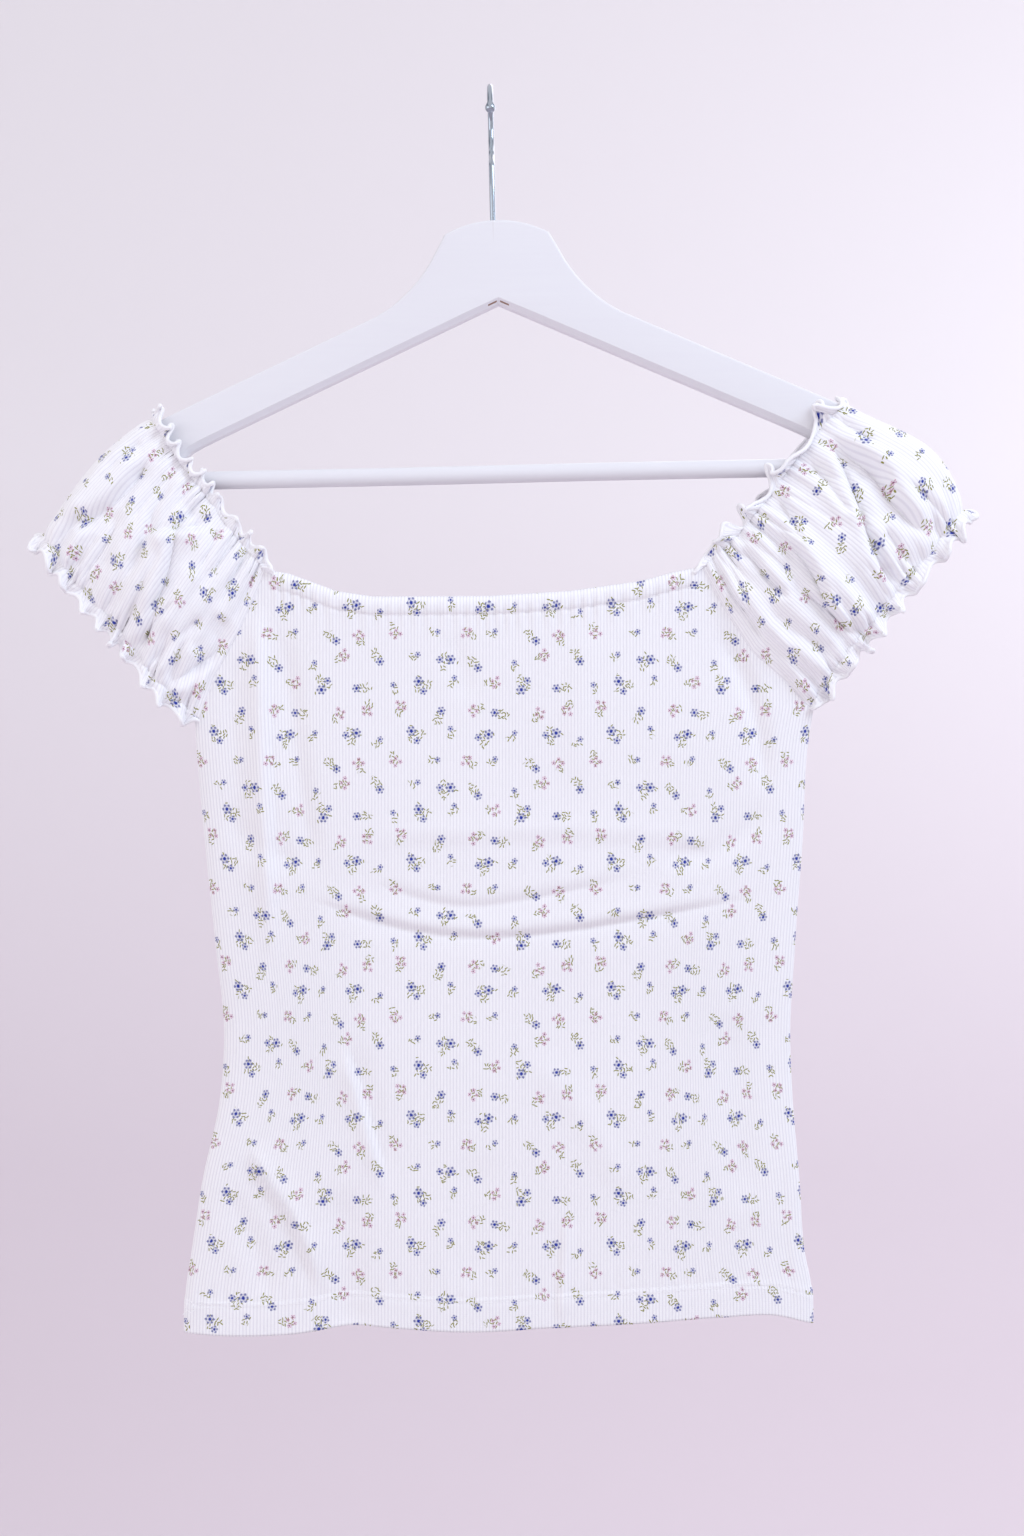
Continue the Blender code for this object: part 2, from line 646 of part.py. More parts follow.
def build():
    for old in list(bpy.data.objects):
        bpy.data.objects.remove(old)
    scene = bpy.context.scene.collection
    part = bpy.data.collections.new("off_shoulder_top")
    tools = bpy.data.collections.new("cutters")
    scene.children.link(part)
    scene.children.link(tools)
    knit = new_material("printed rib knit", (0.86, 0.85, 0.88), 0.85)
    paint = new_material("white painted wood", (0.84, 0.84, 0.87), 0.45)
    steel = new_material("bright steel wire", (0.62, 0.63, 0.66), 0.25, 1.0)

    across = body_columns()
    for name, face in (("body_front", FRONT), ("body_back", BACK)):
        cloth_wall(
            name, across, body_rows(), lambda u, v, f=face: body_place(u, v, f), body_thickness, part, knit
        )
    for side in ("left", "right"):
        cloth_wall(
            "sleeve_" + side,
            sleeve_columns(side),
            SLEEVE_STATIONS,
            lambda u, t, s=side: sleeve_place(u, t, s),
            lambda points: np.full(points.shape[:2], CLOTH),
            part,
            knit,
        )

    wood = make_wood(paint, part)
    bar = make_bar(paint, part)
    hook = make_hook(steel, part)
    bpy.context.view_layer.update()
    for name, way in (("left socket", -1), ("right socket", 1)):
        inner = Vector((WOOD_SHIFT + way * SOCKET_START, 0, BAR_HEIGHT))
        outer = Vector((WOOD_SHIFT + way * (BAR_HALF_LENGTH + SOCKET_CLEARANCE), 0, BAR_HEIGHT))
        cut(wood, cutter(name, BAR_RADIUS + SOCKET_CLEARANCE, inner, outer, tools))
    above = Vector((0, 0, HANGER_TOP + WOOD_THICKNESS))
    below = Vector((0, 0, HANGER_TOP - HOOK_DEPTH_IN_WOOD - SOCKET_CLEARANCE))
    cut(wood, cutter("hook hole", WIRE_RADIUS + SOCKET_CLEARANCE, above, below, tools))

    pivot = bpy.data.objects.new("hanger", None)
    part.objects.link(pivot)
    for piece in (wood, bar, hook, *tools.objects):
        piece.parent = pivot
    pivot.rotation_euler = (0, -HANGER_TILT, 0)


build()
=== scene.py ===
"""Looks of an off-shoulder rib-knit top on its wooden hanger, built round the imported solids.

Metres, +Z up, seen from the front along +Y. The origin is the top of the rail that the hook rests on.
"""

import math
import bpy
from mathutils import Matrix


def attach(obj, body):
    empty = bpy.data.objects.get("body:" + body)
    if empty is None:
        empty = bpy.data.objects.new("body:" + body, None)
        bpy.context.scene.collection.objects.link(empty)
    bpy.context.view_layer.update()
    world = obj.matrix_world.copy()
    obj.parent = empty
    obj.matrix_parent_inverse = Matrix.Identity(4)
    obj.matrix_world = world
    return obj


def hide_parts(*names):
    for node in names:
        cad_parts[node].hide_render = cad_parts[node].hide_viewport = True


bl_info = {
    "name": "Off-shoulder knit top on a hanger",
    "version": (1, 0, 0),
    "blender": (4, 5, 0),
    "location": "View3D > Sidebar > Knit top",
    "description": "Models a gathered rib-knit top with its print and sewing, the hanger and a plain studio",
    "category": "Object",
}

import bmesh
import bpy
import numpy as np
from bpy.props import FloatProperty, PointerProperty, StringProperty
from mathutils import Matrix, Vector

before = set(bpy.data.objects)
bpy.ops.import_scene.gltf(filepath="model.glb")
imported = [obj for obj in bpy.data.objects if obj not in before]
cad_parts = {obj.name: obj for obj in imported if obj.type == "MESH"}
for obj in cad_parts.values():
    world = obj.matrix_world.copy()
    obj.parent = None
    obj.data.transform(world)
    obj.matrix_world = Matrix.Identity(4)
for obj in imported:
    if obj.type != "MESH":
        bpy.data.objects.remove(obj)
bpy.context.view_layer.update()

MM = 0.001
FRONT, BACK = -1, 1
UV_MAP = "cloth"

# Cloth
CLOTH = 1.2 * MM
HEM_THICKNESS = 2.2 * MM
CASING_THICKNESS = 2.8 * MM
HEM_DEPTH = 20 * MM
CASING_DEPTH = 10 * MM
SEAM_OVERLAP = 0.3 * MM

# Body
BODY_RIBS = 194
BODY_COLUMNS_PER_RIB = 2
BODY_WIDTH = 388 * MM
SECTION_POWER = 3.0
SECTION_ASPECT = 0.066
UNDERARM_SHARE = 0.985
BACK_DROP = 2.5 * MM
BACK_HEM_RISE = 1 * MM
SECTION_SAMPLES = 721
HEM_ROWS = np.array((0, 1.5, 4, 9, 14, 16.5, 17.5, 18.5, 19.5, 20.3, 21.1, 22.5, 25)) * MM
CASING_ROWS = np.array((0, 1.2, 3, 5, 7, 8.6, 9.3, 10, 10.7, 11.6, 13, 15, 18)) * MM
MIDDLE_ROWS = 99
FINE_ROWS = (-512 * MM, -464 * MM)
FINE_SHARE = 0.3
PUCKER_STEP = 7.5 * MM

# Sleeves
SLEEVE_RIBS = 166
SLEEVE_COLUMNS_PER_RIB = 3
SLEEVE_CLOTH_WIDTH = 332 * MM
WAVES = 20
WAVE_UNEVENNESS = 0.3
NECK_RUFFLE = 6.05 * MM
CUFF_RUFFLE = 9 * MM
RUFFLE_FLARE = 2.4 * MM
FOLD_RADIUS = 9.5 * MM
HALF_SLEEVE = 120 * MM
SLEEVE_LENGTH = 98 * MM
SLEEVE_RIB_SHARE = 0.4
RUFFLE_ROWS = 9
RUFFLE_END = (5 * MM, 1.6 * MM, 3.5 * MM)
SLEEVE_ROWS = 70
SMALL_CREASES = 18
FOLD_PIECES = 14
CREASE_SEED = 11

# Sewing
THREAD_RADIUS = 0.22 * MM
STITCH_BED = 0.4
ROLLED_EDGE_RADIUS = 1.3 * MM
STITCH_LENGTH = 2.6 * MM
ELASTIC_STITCH = 2.0 * MM
STITCH_GAP = 0.7 * MM
HEM_STITCHES = {"hem_lower": 17.5 * MM, "hem_upper": 20.3 * MM}
SEAM_COLUMNS = 380
LOOSE_THREAD_START = (-181.0, -8.5, -722.5)
LOOSE_THREAD_TURNS = (
    (0, 0, 0),
    (3.2, -1.5, -1.2),
    (5.4, -2.2, -4.4),
    (3.6, -2.8, -7.2),
    (0.6, -2.6, -6.0),
    (-1.6, -2, -8.8),
)

# Hanger
WOOD_THICKNESS = 14 * MM
EASED_EDGE = 1.6 * MM
LOWER_CHAMFER = 3.3 * MM
ARM_ANGLE = math.radians(24.3)
HANGER_TILT = math.radians(1.3)
WOOD_SHIFT = 2.2 * MM
HANGER_TOP = -78.7 * MM
HANGER_APEX = -128.4 * MM
TOP_ARC_HALF_WIDTH = 31.2 * MM
TOP_ARC_RISE = 8 * MM
ARM_START = (73.2 * MM, -134.8 * MM)
ARM_BEND = 200 * MM
ARM_BEND_DROP = 7 * MM
ARM_TIP = 224 * MM
BAR_HEIGHT = -229.8 * MM
BAR_RADIUS = 5.4 * MM
BAR_HALF_LENGTH = 203 * MM
WIRE_RADIUS = 1.75 * MM
HOOK_RADIUS = 18 * MM + WIRE_RADIUS
HOOK_BALL_RADIUS = 3.1 * MM
HOOK_BALL_SINK = 1.5 * MM
HOOK_SWAY_LENGTH = 12 * MM
HOOK_STRAIGHT_FROM = -60 * MM
HOOK_DEPTH_IN_WOOD = 22 * MM
HOOK_TIP_ANGLE = math.radians(169)
HOOK_BACK_ANGLE = math.radians(-52)

# Camera and studio, from the photograph's framing
CAMERA_PLACE = (13.2 * MM, -1300 * MM, -405.9 * MM)
CAMERA_LENS = 50.8
SENSOR_WIDTH = 36
LIGHTS_AIM = (0.0, 0.0, -0.42)
FLOOR_HEIGHT = -2.0
WALL_PLACE = 3.0
WALL_TOP = 3.0
COVE_RADIUS = 0.8
STAGE_HALF_WIDTH = 6.0


def table(columns, *rows):
    """A short table of millimetres as a dict: column name to its numbers in metres."""
    return {name: np.array(values, float) * MM for name, values in zip(columns.split(), zip(*rows))}


BODY_SIDES = table(
    "z left right",
    (-738, -182.4, 192.9),
    (-719, -181.8, 192.5),
    (-695, -178.2, 188.0),
    (-653, -171.6, 185.0),
    (-605, -161.4, 181.0),
    (-564, -158.8, 179.4),
    (-515, -163.5, 182.0),
    (-453, -170.1, 186.6),
    (-387, -175.6, 190.5),
    (-370, -176.5, 193.5),
)
BODY_DEPTH = table(
    "z half",
    (-740, 11.5),
    (-640, 12.5),
    (-545, 12.0),
    (-450, 12.5),
    (-372, 12.0),
    (-290, 10.0),
)
TOP_EDGE = table(
    "x z",
    (-174.0, -378.0),
    (-165.0, -352.0),
    (-150.0, -324.0),
    (-134.0, -293.5),
    (-120.0, -292.5),
    (-107.0, -298.0),
    (-92.0, -302.5),
    (-70.0, -304.8),
    (0.0, -304.4),
    (47.0, -301.5),
    (90.0, -295.5),
    (108.0, -290.5),
    (127.0, -286.5),
    (139.0, -309.0),
    (157.0, -337.0),
    (177.0, -355.0),
    (190.0, -369.5),
)
# The neckline climbs a little more to its left end than its solid does.
TOP_EDGE["z"][3:7] = np.array((-288.5, -291, -295.8, -301.4)) * MM
NECK_LEFT, NECK_RIGHT = -134 * MM, 127 * MM
HEM_EDGE = table(
    "x z",
    (-182, -743.0),
    (-150, -744.3),
    (-113, -742.6),
    (-82, -737.6),
    (-50, -739.4),
    (-15, -741.2),
    (35, -738.8),
    (90, -736.0),
    (140, -732.7),
    (172, -732.4),
    (193, -738.0),
)
SHOULDER = table(
    "x z",
    (31.2, -87.0),
    (35.8, -94.8),
    (40.3, -103.1),
    (46.7, -112.3),
    (54.1, -120.6),
    (62.4, -127.9),
    (73.2, -134.8),
)
SHOULDER_FROM = 34 * MM
TIP = table(
    "x z",
    (224, -213.5),
    (224, -224),
    (221, -234),
    (214, -240.5),
    (206, -242),
    (199.5, -240),
    (195.5, -233.5),
    (193.5, -225.5),
    (191, -218.5),
    (186, -213.2),
    (179, -209.4),
    (168, -204.3),
)
# Folds, each through four points in millimetres from (x1, z1) to (x4, z4): a soft ridge or valley of a
# height, a sharp pleat of a step whose high side is on the left of its run, and the width of both.
FOLD_COLUMNS = "x1 z1 x2 z2 x3 z3 x4 z4 height step width"
BODY_FOLDS = table(
    FOLD_COLUMNS,
    (-112, -481, -36, -502, 42, -501, 172, -478, -0.5, 1.35, 3.4),
    (-74, -471, -24, -485, 20, -482, 96, -466, -0.4, 0.7, 4),
    (-92, -451, 6, -445, 96, -447, 142, -455, 0.9, 0.5, 4),
    (-137, -306, -135, -365, -133, -425, -128, -530, 3.8, -1.4, 6.5),
    (-124, -322, -118, -371, -111, -425, -102, -480, -2.2, 0, 7),
    (-151, -322, -153, -377, -150, -425, -150, -470, -1.4, 0, 7),
    (-88, -570, -79, -596, -72, -620, -61, -658, 1.5, -1.6, 3.8),
    (-146, -632, -132, -653, -116, -676, -98, -722, 2.4, 1.5, 4.5),
    (-160, -655, -148, -676, -136, -700, -130, -728, -1.8, 0, 8),
    (181, -505, 180, -593, 179, -665, 184, -748, -3.2, 1.0, 4.5),
    (-24, -325, -20, -338, -16, -352, -12, -368, -1.0, 0, 7),
    (45, -668, 44, -695, 42, -719, 42, -736, 1.4, 0.5, 4),
    (-88, -650, -86, -690, -84, -720, -82, -748, -2.6, 0, 12),
    (141, -545, 146, -590, 149, -630, 152, -672, -1.6, 0, 12),
    (-6, -630, -9, -660, -11, -690, -12, -720, -1.1, 0, 12),
    (136, -318, 153, -352, 162, -383, 168, -425, -2.4, 0.8, 6),
    (62, -318, 56, -350, 52, -385, 54, -420, 0.9, 0, 9),
    (20, -575, 46, -600, 66, -628, 84, -664, 1.0, 0, 9),
    (172, -425, 150, -448, 128, -458, 96, -462, -1.2, 0.4, 7),
    (-168, -425, -150, -446, -132, -458, -104, -466, -1.2, -0.4, 7),
)
SLEEVE_EDGES = {
    "left": {
        "neck": table("x z", (-134, -293), (-150, -272), (-170, -243.5), (-187, -220.5), (-202, -197)),
        "cuff": table("x z", (-173, -378), (-199, -352), (-221, -322), (-245, -296), (-266, -266)),
        "fold_bow": 6.8 * MM,
        "bow_power": 0.85,
    },
    "right": {
        "neck": table("x z", (127, -287), (145, -270), (163, -248.5), (186, -217), (212, -186.6)),
        "cuff": table("x z", (190, -370), (209, -341), (231, -314), (257, -283), (282, -251.5)),
        "fold_bow": 14.2 * MM,
        "bow_power": 1.4,
    },
}
# How far a sleeve stands off the middle plane, at shares of the way from the neck elastic to the cuff's.
SLEEVE_FULLNESS = {"share": (0, 0.1, 0.3, 0.5, 0.7, 0.9, 1), "fold": (0, 0.6, 1.5, 2, 2, 1.2, 0.5)}
SLEEVE_FULLNESS["puff"] = (1.0, 5.5, 10.5, 12.5, 12, 7, 3)
# Height of the gathers in millimetres, at stations from the neck ruffle's edge to the cuff ruffle's edge.
GATHERS = {"station": (-1, -0.45, 0, 0.07, 0.16, 0.3, 0.5, 0.75, 0.88, 0.94, 1, 1.45, 2)}
GATHERS["height"] = (3.0, 1.9, 0.9, 1.8, 1.6, 0.9, 0.5, 0.9, 1.7, 2.0, 1.0, 2.6, 4.0)
SLEEVE_FOLDS = {
    "left": table(
        FOLD_COLUMNS,
        (-206, -217, -219, -234, -234, -248, -254, -262, -1.2, -4.2, 4.2),
        (-186, -231, -200, -249, -208, -272, -219, -297, -4.2, 1.2, 3.2),
        (-190, -262, -193, -277, -198, -295, -208, -316, -0.6, -3.2, 3.2),
        (-168, -260, -182, -264, -196, -264, -206, -267, 0, 3.0, 4.2),
        (-150, -322, -161, -339, -176, -349, -194, -361, -2.0, 2.8, 3.6),
        (-170, -316, -182, -326, -194, -337, -206, -348, -2.2, 1.2, 4),
        (-158, -314, -165, -322, -172, -330, -180, -338, -3.0, 0, 7),
        (-188, -243, -180, -250, -174, -256, -168, -262, -3.2, 0, 5.5),
        (-208, -209, -214, -214, -222, -221, -232, -229, -1.6, 0, 2.6),
        (-222, -250, -228, -262, -232, -276, -234, -292, -3.0, 0, 6.5),
        (-176, -284, -184, -296, -190, -310, -196, -330, 2.2, 0, 7),
        (-240, -262, -246, -270, -250, -278, -254, -286, 1.6, -1.2, 3.4),
    ),
    "right": table(
        FOLD_COLUMNS,
        (205, -206, 232, -225, 246, -244, 265, -268, -1.0, 5.0, 4.4),
        (202, -208, 217, -240, 229, -274, 247, -309, -1.8, -3.2, 3.2),
        (173, -260, 193, -284, 206, -310, 224, -329, 0, 3.8, 3.2),
        (162, -261, 176, -277, 186, -298, 204, -321, -3.6, 0, 5.5),
        (147, -273, 158, -279, 168, -292, 181, -304, -2.2, 1.6, 3.4),
        (134, -292, 162, -314, 177, -331, 203, -357, 3.2, 0.8, 5.5),
        (157, -303, 179, -322, 195, -332, 209, -340, -3.8, 0, 5.5),
        (189, -220, 199, -232, 209, -245, 218, -257, -2.6, -1.0, 2.8),
        (173, -239, 178, -250, 182, -259, 188, -268, -2.4, 0.8, 2.4),
        (224, -222, 232, -234, 238, -246, 243, -260, -2.6, 0, 7),
        (236, -262, 242, -272, 248, -284, 252, -292, -1.6, 1.0, 3.4),
        (203, -282, 212, -296, 220, -306, 230, -316, 1.6, -1.0, 4),
    ),
}
# Small creases of a sleeve: shares of the way from the seam to the fold at its neck end and at its cuff
# end, first and last share of the length, and depth and width in millimetres.
CREASE_COLUMNS = ("neck", "cuff", "first", "last", "depth", "width")
# The other faces have the folds of the opposite ones, as in a mirror, moved and a little shallower.
SLEEVE_MIRROR = {"left": (7, -12), "right": (7, 12)}
BODY_MIRROR = (4, -7)
MIRRORED_DEPTH = 0.85
# The ruffles: loops to each gather, how far the loops lean out and in, how far they are drawn sideways so
# that they curl over, how long the ruffle is, and how much longer in a loop. The top loop is at TOP_LOOP.
RUFFLES = {
    ("left", "neck"): (1.1, 2.4 * MM, 3.4 * MM, 5.4 * MM, 2.2 * MM),
    ("left", "cuff"): (1.05, 3.6 * MM, 3.6 * MM, 7.2 * MM, 2.2 * MM),
    ("right", "neck"): (0.45, 4.6 * MM, 9.5 * MM, 4.0 * MM, 3.6 * MM),
    ("right", "cuff"): (0.95, 3.8 * MM, 4.2 * MM, 7.2 * MM, 2.2 * MM),
}
TOP_LOOP = 9.3
# The ruffles of the back are shorter, and hidden behind those of the front.
BACK_RUFFLE = 0.15
# The print. Each row is one sprig of the repeat: its kind, how far it is moved in its cell across and up in
# millimetres, and its turn in degrees. The chart goes up each column of cells in turn.
CELL = (20.4, 15.2)
ROW_SHIFT = 0.4
CELL_COLUMNS, CELL_ROWS = 6, 5
CELL_REACH = 8.0
KINDS = ("pair", "single", "bud", "blossom")
REPEAT = (
    ("blossom", -2.2, 2.6, 20),
    ("bud", 2.4, -0.8, 310),
    ("single", 0.2, 1.6, 200),
    ("blossom", -3.0, -1.4, 340),
    ("pair", 0.6, 0.8, 355),
    ("single", 1.6, -2.2, 75),
    ("pair", -0.8, 0.4, 250),
    ("bud", 3.0, 2.8, 40),
    ("blossom", -1.2, 1.8, 160),
    ("bud", -3.2, -2.6, 15),
    ("blossom", 3.0, 0.8, 250),
    ("bud", -2.0, 3.2, 350),
    ("pair", 1.0, -0.6, 5),
    ("bud", 2.8, 1.6, 60),
    ("pair", -1.0, 1.4, 245),
    ("single", -2.8, -1.0, 330),
    ("blossom", 2.0, 2.2, 90),
    ("single", -1.4, -2.4, 190),
    ("blossom", 2.6, 0.6, 300),
    ("bud", 0.4, 3.4, 325),
    ("blossom", 0.8, -1.8, 45),
    ("pair", -0.6, 1.0, 130),
    ("bud", 2.2, -3.0, 345),
    ("bud", -2.6, 1.2, 30),
    ("pair", 0.2, -0.2, 350),
    ("blossom", -1.6, 1.4, 200),
    ("single", 2.4, -1.2, 320),
    ("blossom", -0.8, 2.8, 70),
    ("single", 1.2, -2.0, 180),
    ("bud", -2.4, 1.0, 10),
)
# What each kind of sprig is made of, in millimetres and degrees. Flowers: across, up, radius, petals, turn.
FLOWERS = {
    "pair": ((2.9, 1.3, 3.0, 6, 10), (-3.3, 0.7, 2.2, 5, 40)),
    "single": ((-2.2, 1.6, 2.6, 6, 25),),
    "bud": ((0.6, 1.5, 1.8, 5, 20),),
    "blossom": (
        (-2.3, 2.0, 1.35, 5, 0),
        (1.0, 3.0, 1.15, 4, 30),
        (2.4, 0.2, 1.35, 5, 50),
        (-0.7, -0.6, 1.1, 4, 10),
    ),
}
# Sprays of small leaves: across, up, length, width and turn of the stretch of cloth that each covers.
SPRAYS = {
    "pair": ((-0.4, -2.2, 7.6, 5.2, 245), (-0.6, 3.4, 4.6, 3.2, 150), (6.2, 0.4, 3.4, 1.6, 15)),
    "single": ((1.5, -1.5, 8.4, 5.6, 325),),
    "bud": ((-0.5, -1.2, 6.4, 3.8, 20),),
    "blossom": ((0.2, -2.5, 6.0, 4.6, 280), (0.6, 1.4, 4.6, 3.4, 0)),
}
SPRIG_SIZE = {"pair": 1.06, "single": 1.04, "bud": 1.06, "blossom": 1.1}
# Small leaves, in millimetres: how far apart they are scattered, and their length and width.
LEAF_STEP = 1.85
LEAF_SIZE = (2.3, 0.64)
# Petals: how much ink fills them, and how far out their drawn rim is, as shares.
PALE_PETAL = 0.28
PETAL_RIM = 0.74
# The courses of stitches, in millimetres, are drawn coarser than real so that they show.
COURSE_STEP = 1.1
# How much painted shade darkens the valleys between the ribs, as a share.
BODY_RIB_SHADE = 0.14
SLEEVE_RIB_SHADE = 0.12
WHITE = (1, 1, 1, 1)
GRAIN_COLOUR = "D9D5E0"
# Heights between which painted shade darkens the wall down to the floor colour.
WALL_SHADE_HEIGHTS = (0.2, -1.6)


class KnitTopCloth(bpy.types.PropertyGroup):
    """Sizes and colours of the cloth."""

    rib_height: FloatProperty(
        name="Rib height", description="How far a rib stands out", default=0.24 * MM, unit="LENGTH"
    )
    cloth_colour: StringProperty(name="Cloth", description="Cotton, sRGB hex", default="F4F4F7")
    inside_colour: StringProperty(name="Inside", description="Reverse of knit, sRGB hex", default="F1F0F4")
    thread_colour: StringProperty(name="Thread", description="Sewing thread, sRGB hex", default="F4F4F7")
    petal_colour: StringProperty(name="Petals", description="Blue petals, sRGB hex", default="757AA8")
    heart_colour: StringProperty(name="Flower hearts", description="Blue hearts, sRGB hex", default="2438A0")
    leaf_colour: StringProperty(name="Leaves", description="Leaf ink, sRGB hex", default="8C8C36")
    pink_colour: StringProperty(name="Blossom", description="Pink petals, sRGB hex", default="D4A8C0")
    plum_colour: StringProperty(name="Blossom hearts", description="Plum hearts, sRGB hex", default="8E5478")


class KnitTopHanger(bpy.types.PropertyGroup):
    """Colours of the hanger."""

    paint_colour: StringProperty(name="Paint", description="White paint, sRGB hex", default="E3E3E8")
    bare_colour: StringProperty(name="Bare wood", description="Wood in the joint, sRGB hex", default="8C6A58")
    wire_colour: StringProperty(name="Wire", description="Plated steel, sRGB hex", default="A8B2BC")


class KnitTopStudio(bpy.types.PropertyGroup):
    """Light and background of the plain studio."""

    wall_colour: StringProperty(name="Wall", description="Wall, sRGB hex", default="EDEAED")
    # The floor's own colour, which painted shade also brings onto the foot of the wall.
    floor_colour: StringProperty(name="Floor", description="Foot of the wall too, sRGB hex", default="DAD0D8")
    key_power: FloatProperty(name="Key light", description="Watts, upper right", default=28, min=0)
    fill_power: FloatProperty(name="Fill light", description="Watts, left", default=12, min=0)
    sky_strength: FloatProperty(name="Sky", description="Light from all round", default=1.07, min=0)


def curve(xs, ys, x):
    """A smooth curve through the points (xs, ys), read at x: a Hermite spline with Catmull-Rom slopes."""
    xs, ys = np.asarray(xs, float), np.asarray(ys, float)
    slopes = np.gradient(ys, xs)
    i = np.clip(np.searchsorted(xs, x) - 1, 0, len(xs) - 2)
    step = xs[i + 1] - xs[i]
    t = np.clip((x - xs[i]) / step, 0, 1)
    start = (1 + 2 * t) * (1 - t) ** 2 * ys[i] + t * (1 - t) ** 2 * step * slopes[i]
    end = t**2 * (3 - 2 * t) * ys[i + 1] - t**2 * (1 - t) * step * slopes[i + 1]
    return start + end


def smooth(x):
    """0 below 0, 1 above 1, and an even rise between."""
    x = np.clip(x, 0, 1)
    return x * x * (3 - 2 * x)


def linear(hex_colour):
    """An sRGB hex colour as the linear RGBA that the shaders take."""
    parts = [int(hex_colour[i : i + 2], 16) / 255 for i in (0, 2, 4)]
    return (*[c / 12.92 if c <= 0.04045 else ((c + 0.055) / 1.055) ** 2.4 for c in parts], 1.0)


def add(tree, kind, inputs=(), **settings):
    """Adds a node with its settings, and gives each named or numbered input a value or a link."""
    node = tree.nodes.new(kind)
    for name, value in settings.items():
        setattr(node, name, value)
    for socket, value in dict(inputs).items():
        if isinstance(value, bpy.types.NodeSocket):
            tree.links.new(value, node.inputs[socket])
        else:
            node.inputs[socket].default_value = value
    return node


def maths(tree, operation, *values):
    """A math node's result from its numbered inputs."""
    return add(tree, "ShaderNodeMath", dict(enumerate(values)), operation=operation).outputs[0]


def vectors(tree, operation, *values):
    """A vector math node's result from its numbered inputs; a scale or a length has its own sockets."""
    node = add(tree, "ShaderNodeVectorMath", operation=operation)
    chosen = (node.inputs[0], node.inputs["Scale"]) if operation == "SCALE" else node.inputs
    for socket, value in zip(chosen, values):
        if isinstance(value, bpy.types.NodeSocket):
            tree.links.new(value, socket)
        else:
            socket.default_value = value
    return node.outputs["Value" if operation == "LENGTH" else "Vector"]


def ramp(tree, value, low, high, at_low=0.0, at_high=1.0):
    """A value mapped from low to high onto at_low to at_high, and held at its ends."""
    return add(tree, "ShaderNodeMapRange", {0: value, 1: low, 2: high, 3: at_low, 4: at_high}).outputs[0]


def ink(tree, below, mask, colour, **settings):
    """Lays one colour over another where the mask lets it."""
    return add(tree, "ShaderNodeMix", {0: mask, 6: below, 7: colour}, data_type="RGBA", **settings).outputs[2]


def turned(tree, place, angle, axis="Z_AXIS"):
    """The place turned about an axis by an angle in radians."""
    sockets = {"Vector": place, "Angle": angle}
    return add(tree, "ShaderNodeVectorRotate", sockets, rotation_type=axis).outputs[0]


def apart(tree, place):
    """The three numbers of a place."""
    return add(tree, "ShaderNodeSeparateXYZ", {0: place}).outputs


def here(tree):
    """The place on the object."""
    return add(tree, "ShaderNodeTexCoord").outputs["Object"]


def bumped(tree, shader, height, distance, strength):
    """Gives a shader small relief."""
    bump = add(tree, "ShaderNodeBump", {"Height": height, "Distance": distance, "Strength": strength})
    tree.links.new(bump.outputs[0], shader.inputs["Normal"])


def new_finish(name, colour, roughness, **sockets):
    """A material with its Principled shader set, and its node tree."""
    finish = bpy.data.materials.new(name)
    finish.use_nodes = True
    shader = finish.node_tree.nodes["Principled BSDF"]
    shader.inputs["Base Color"].default_value = linear(colour)
    shader.inputs["Roughness"].default_value = roughness
    for socket, value in sockets.items():
        shader.inputs[socket.replace("_", " ")].default_value = value
    return finish, finish.node_tree, shader


# The print


def placed(tree, place, across, up, wide, high, turn):
    """The place seen from a shape's own middle, in its own half-sizes."""
    sockets = {"Vector": place, "Location": (across, up, 0), "Scale": (wide, high, 1)}
    sockets["Rotation"] = (0, 0, math.radians(turn))
    return add(tree, "ShaderNodeMapping", sockets, vector_type="TEXTURE").outputs[0]


def inside(tree, distance, edge, softness):
    """1 where the distance is less than the edge, with a short soft rim as ink on knit has."""
    return ramp(tree, distance, edge + softness, edge - softness)


def small_leaves(tree, place):
    """The small strokes that sprays of leaves are made of, scattered and turned by chance: where they lie,
    and how far each place is from the middle of its stroke."""
    cells = vectors(tree, "SCALE", place, 1 / LEAF_STEP)
    sockets = {"Vector": cells, "Scale": 1.0, "Randomness": 0.7}
    scattered = add(tree, "ShaderNodeTexVoronoi", sockets, voronoi_dimensions="2D")
    off = vectors(tree, "SUBTRACT", cells, scattered.outputs["Position"])
    turn = maths(tree, "MULTIPLY", scattered.outputs["Color"], 4 * math.pi)
    sizes = [2 * LEAF_STEP / size for size in LEAF_SIZE] + [0]
    far = vectors(tree, "LENGTH", vectors(tree, "MULTIPLY", turned(tree, off, turn), sizes))
    return inside(tree, far, 1.0, 0.15), vectors(tree, "SCALE", off, LEAF_STEP)


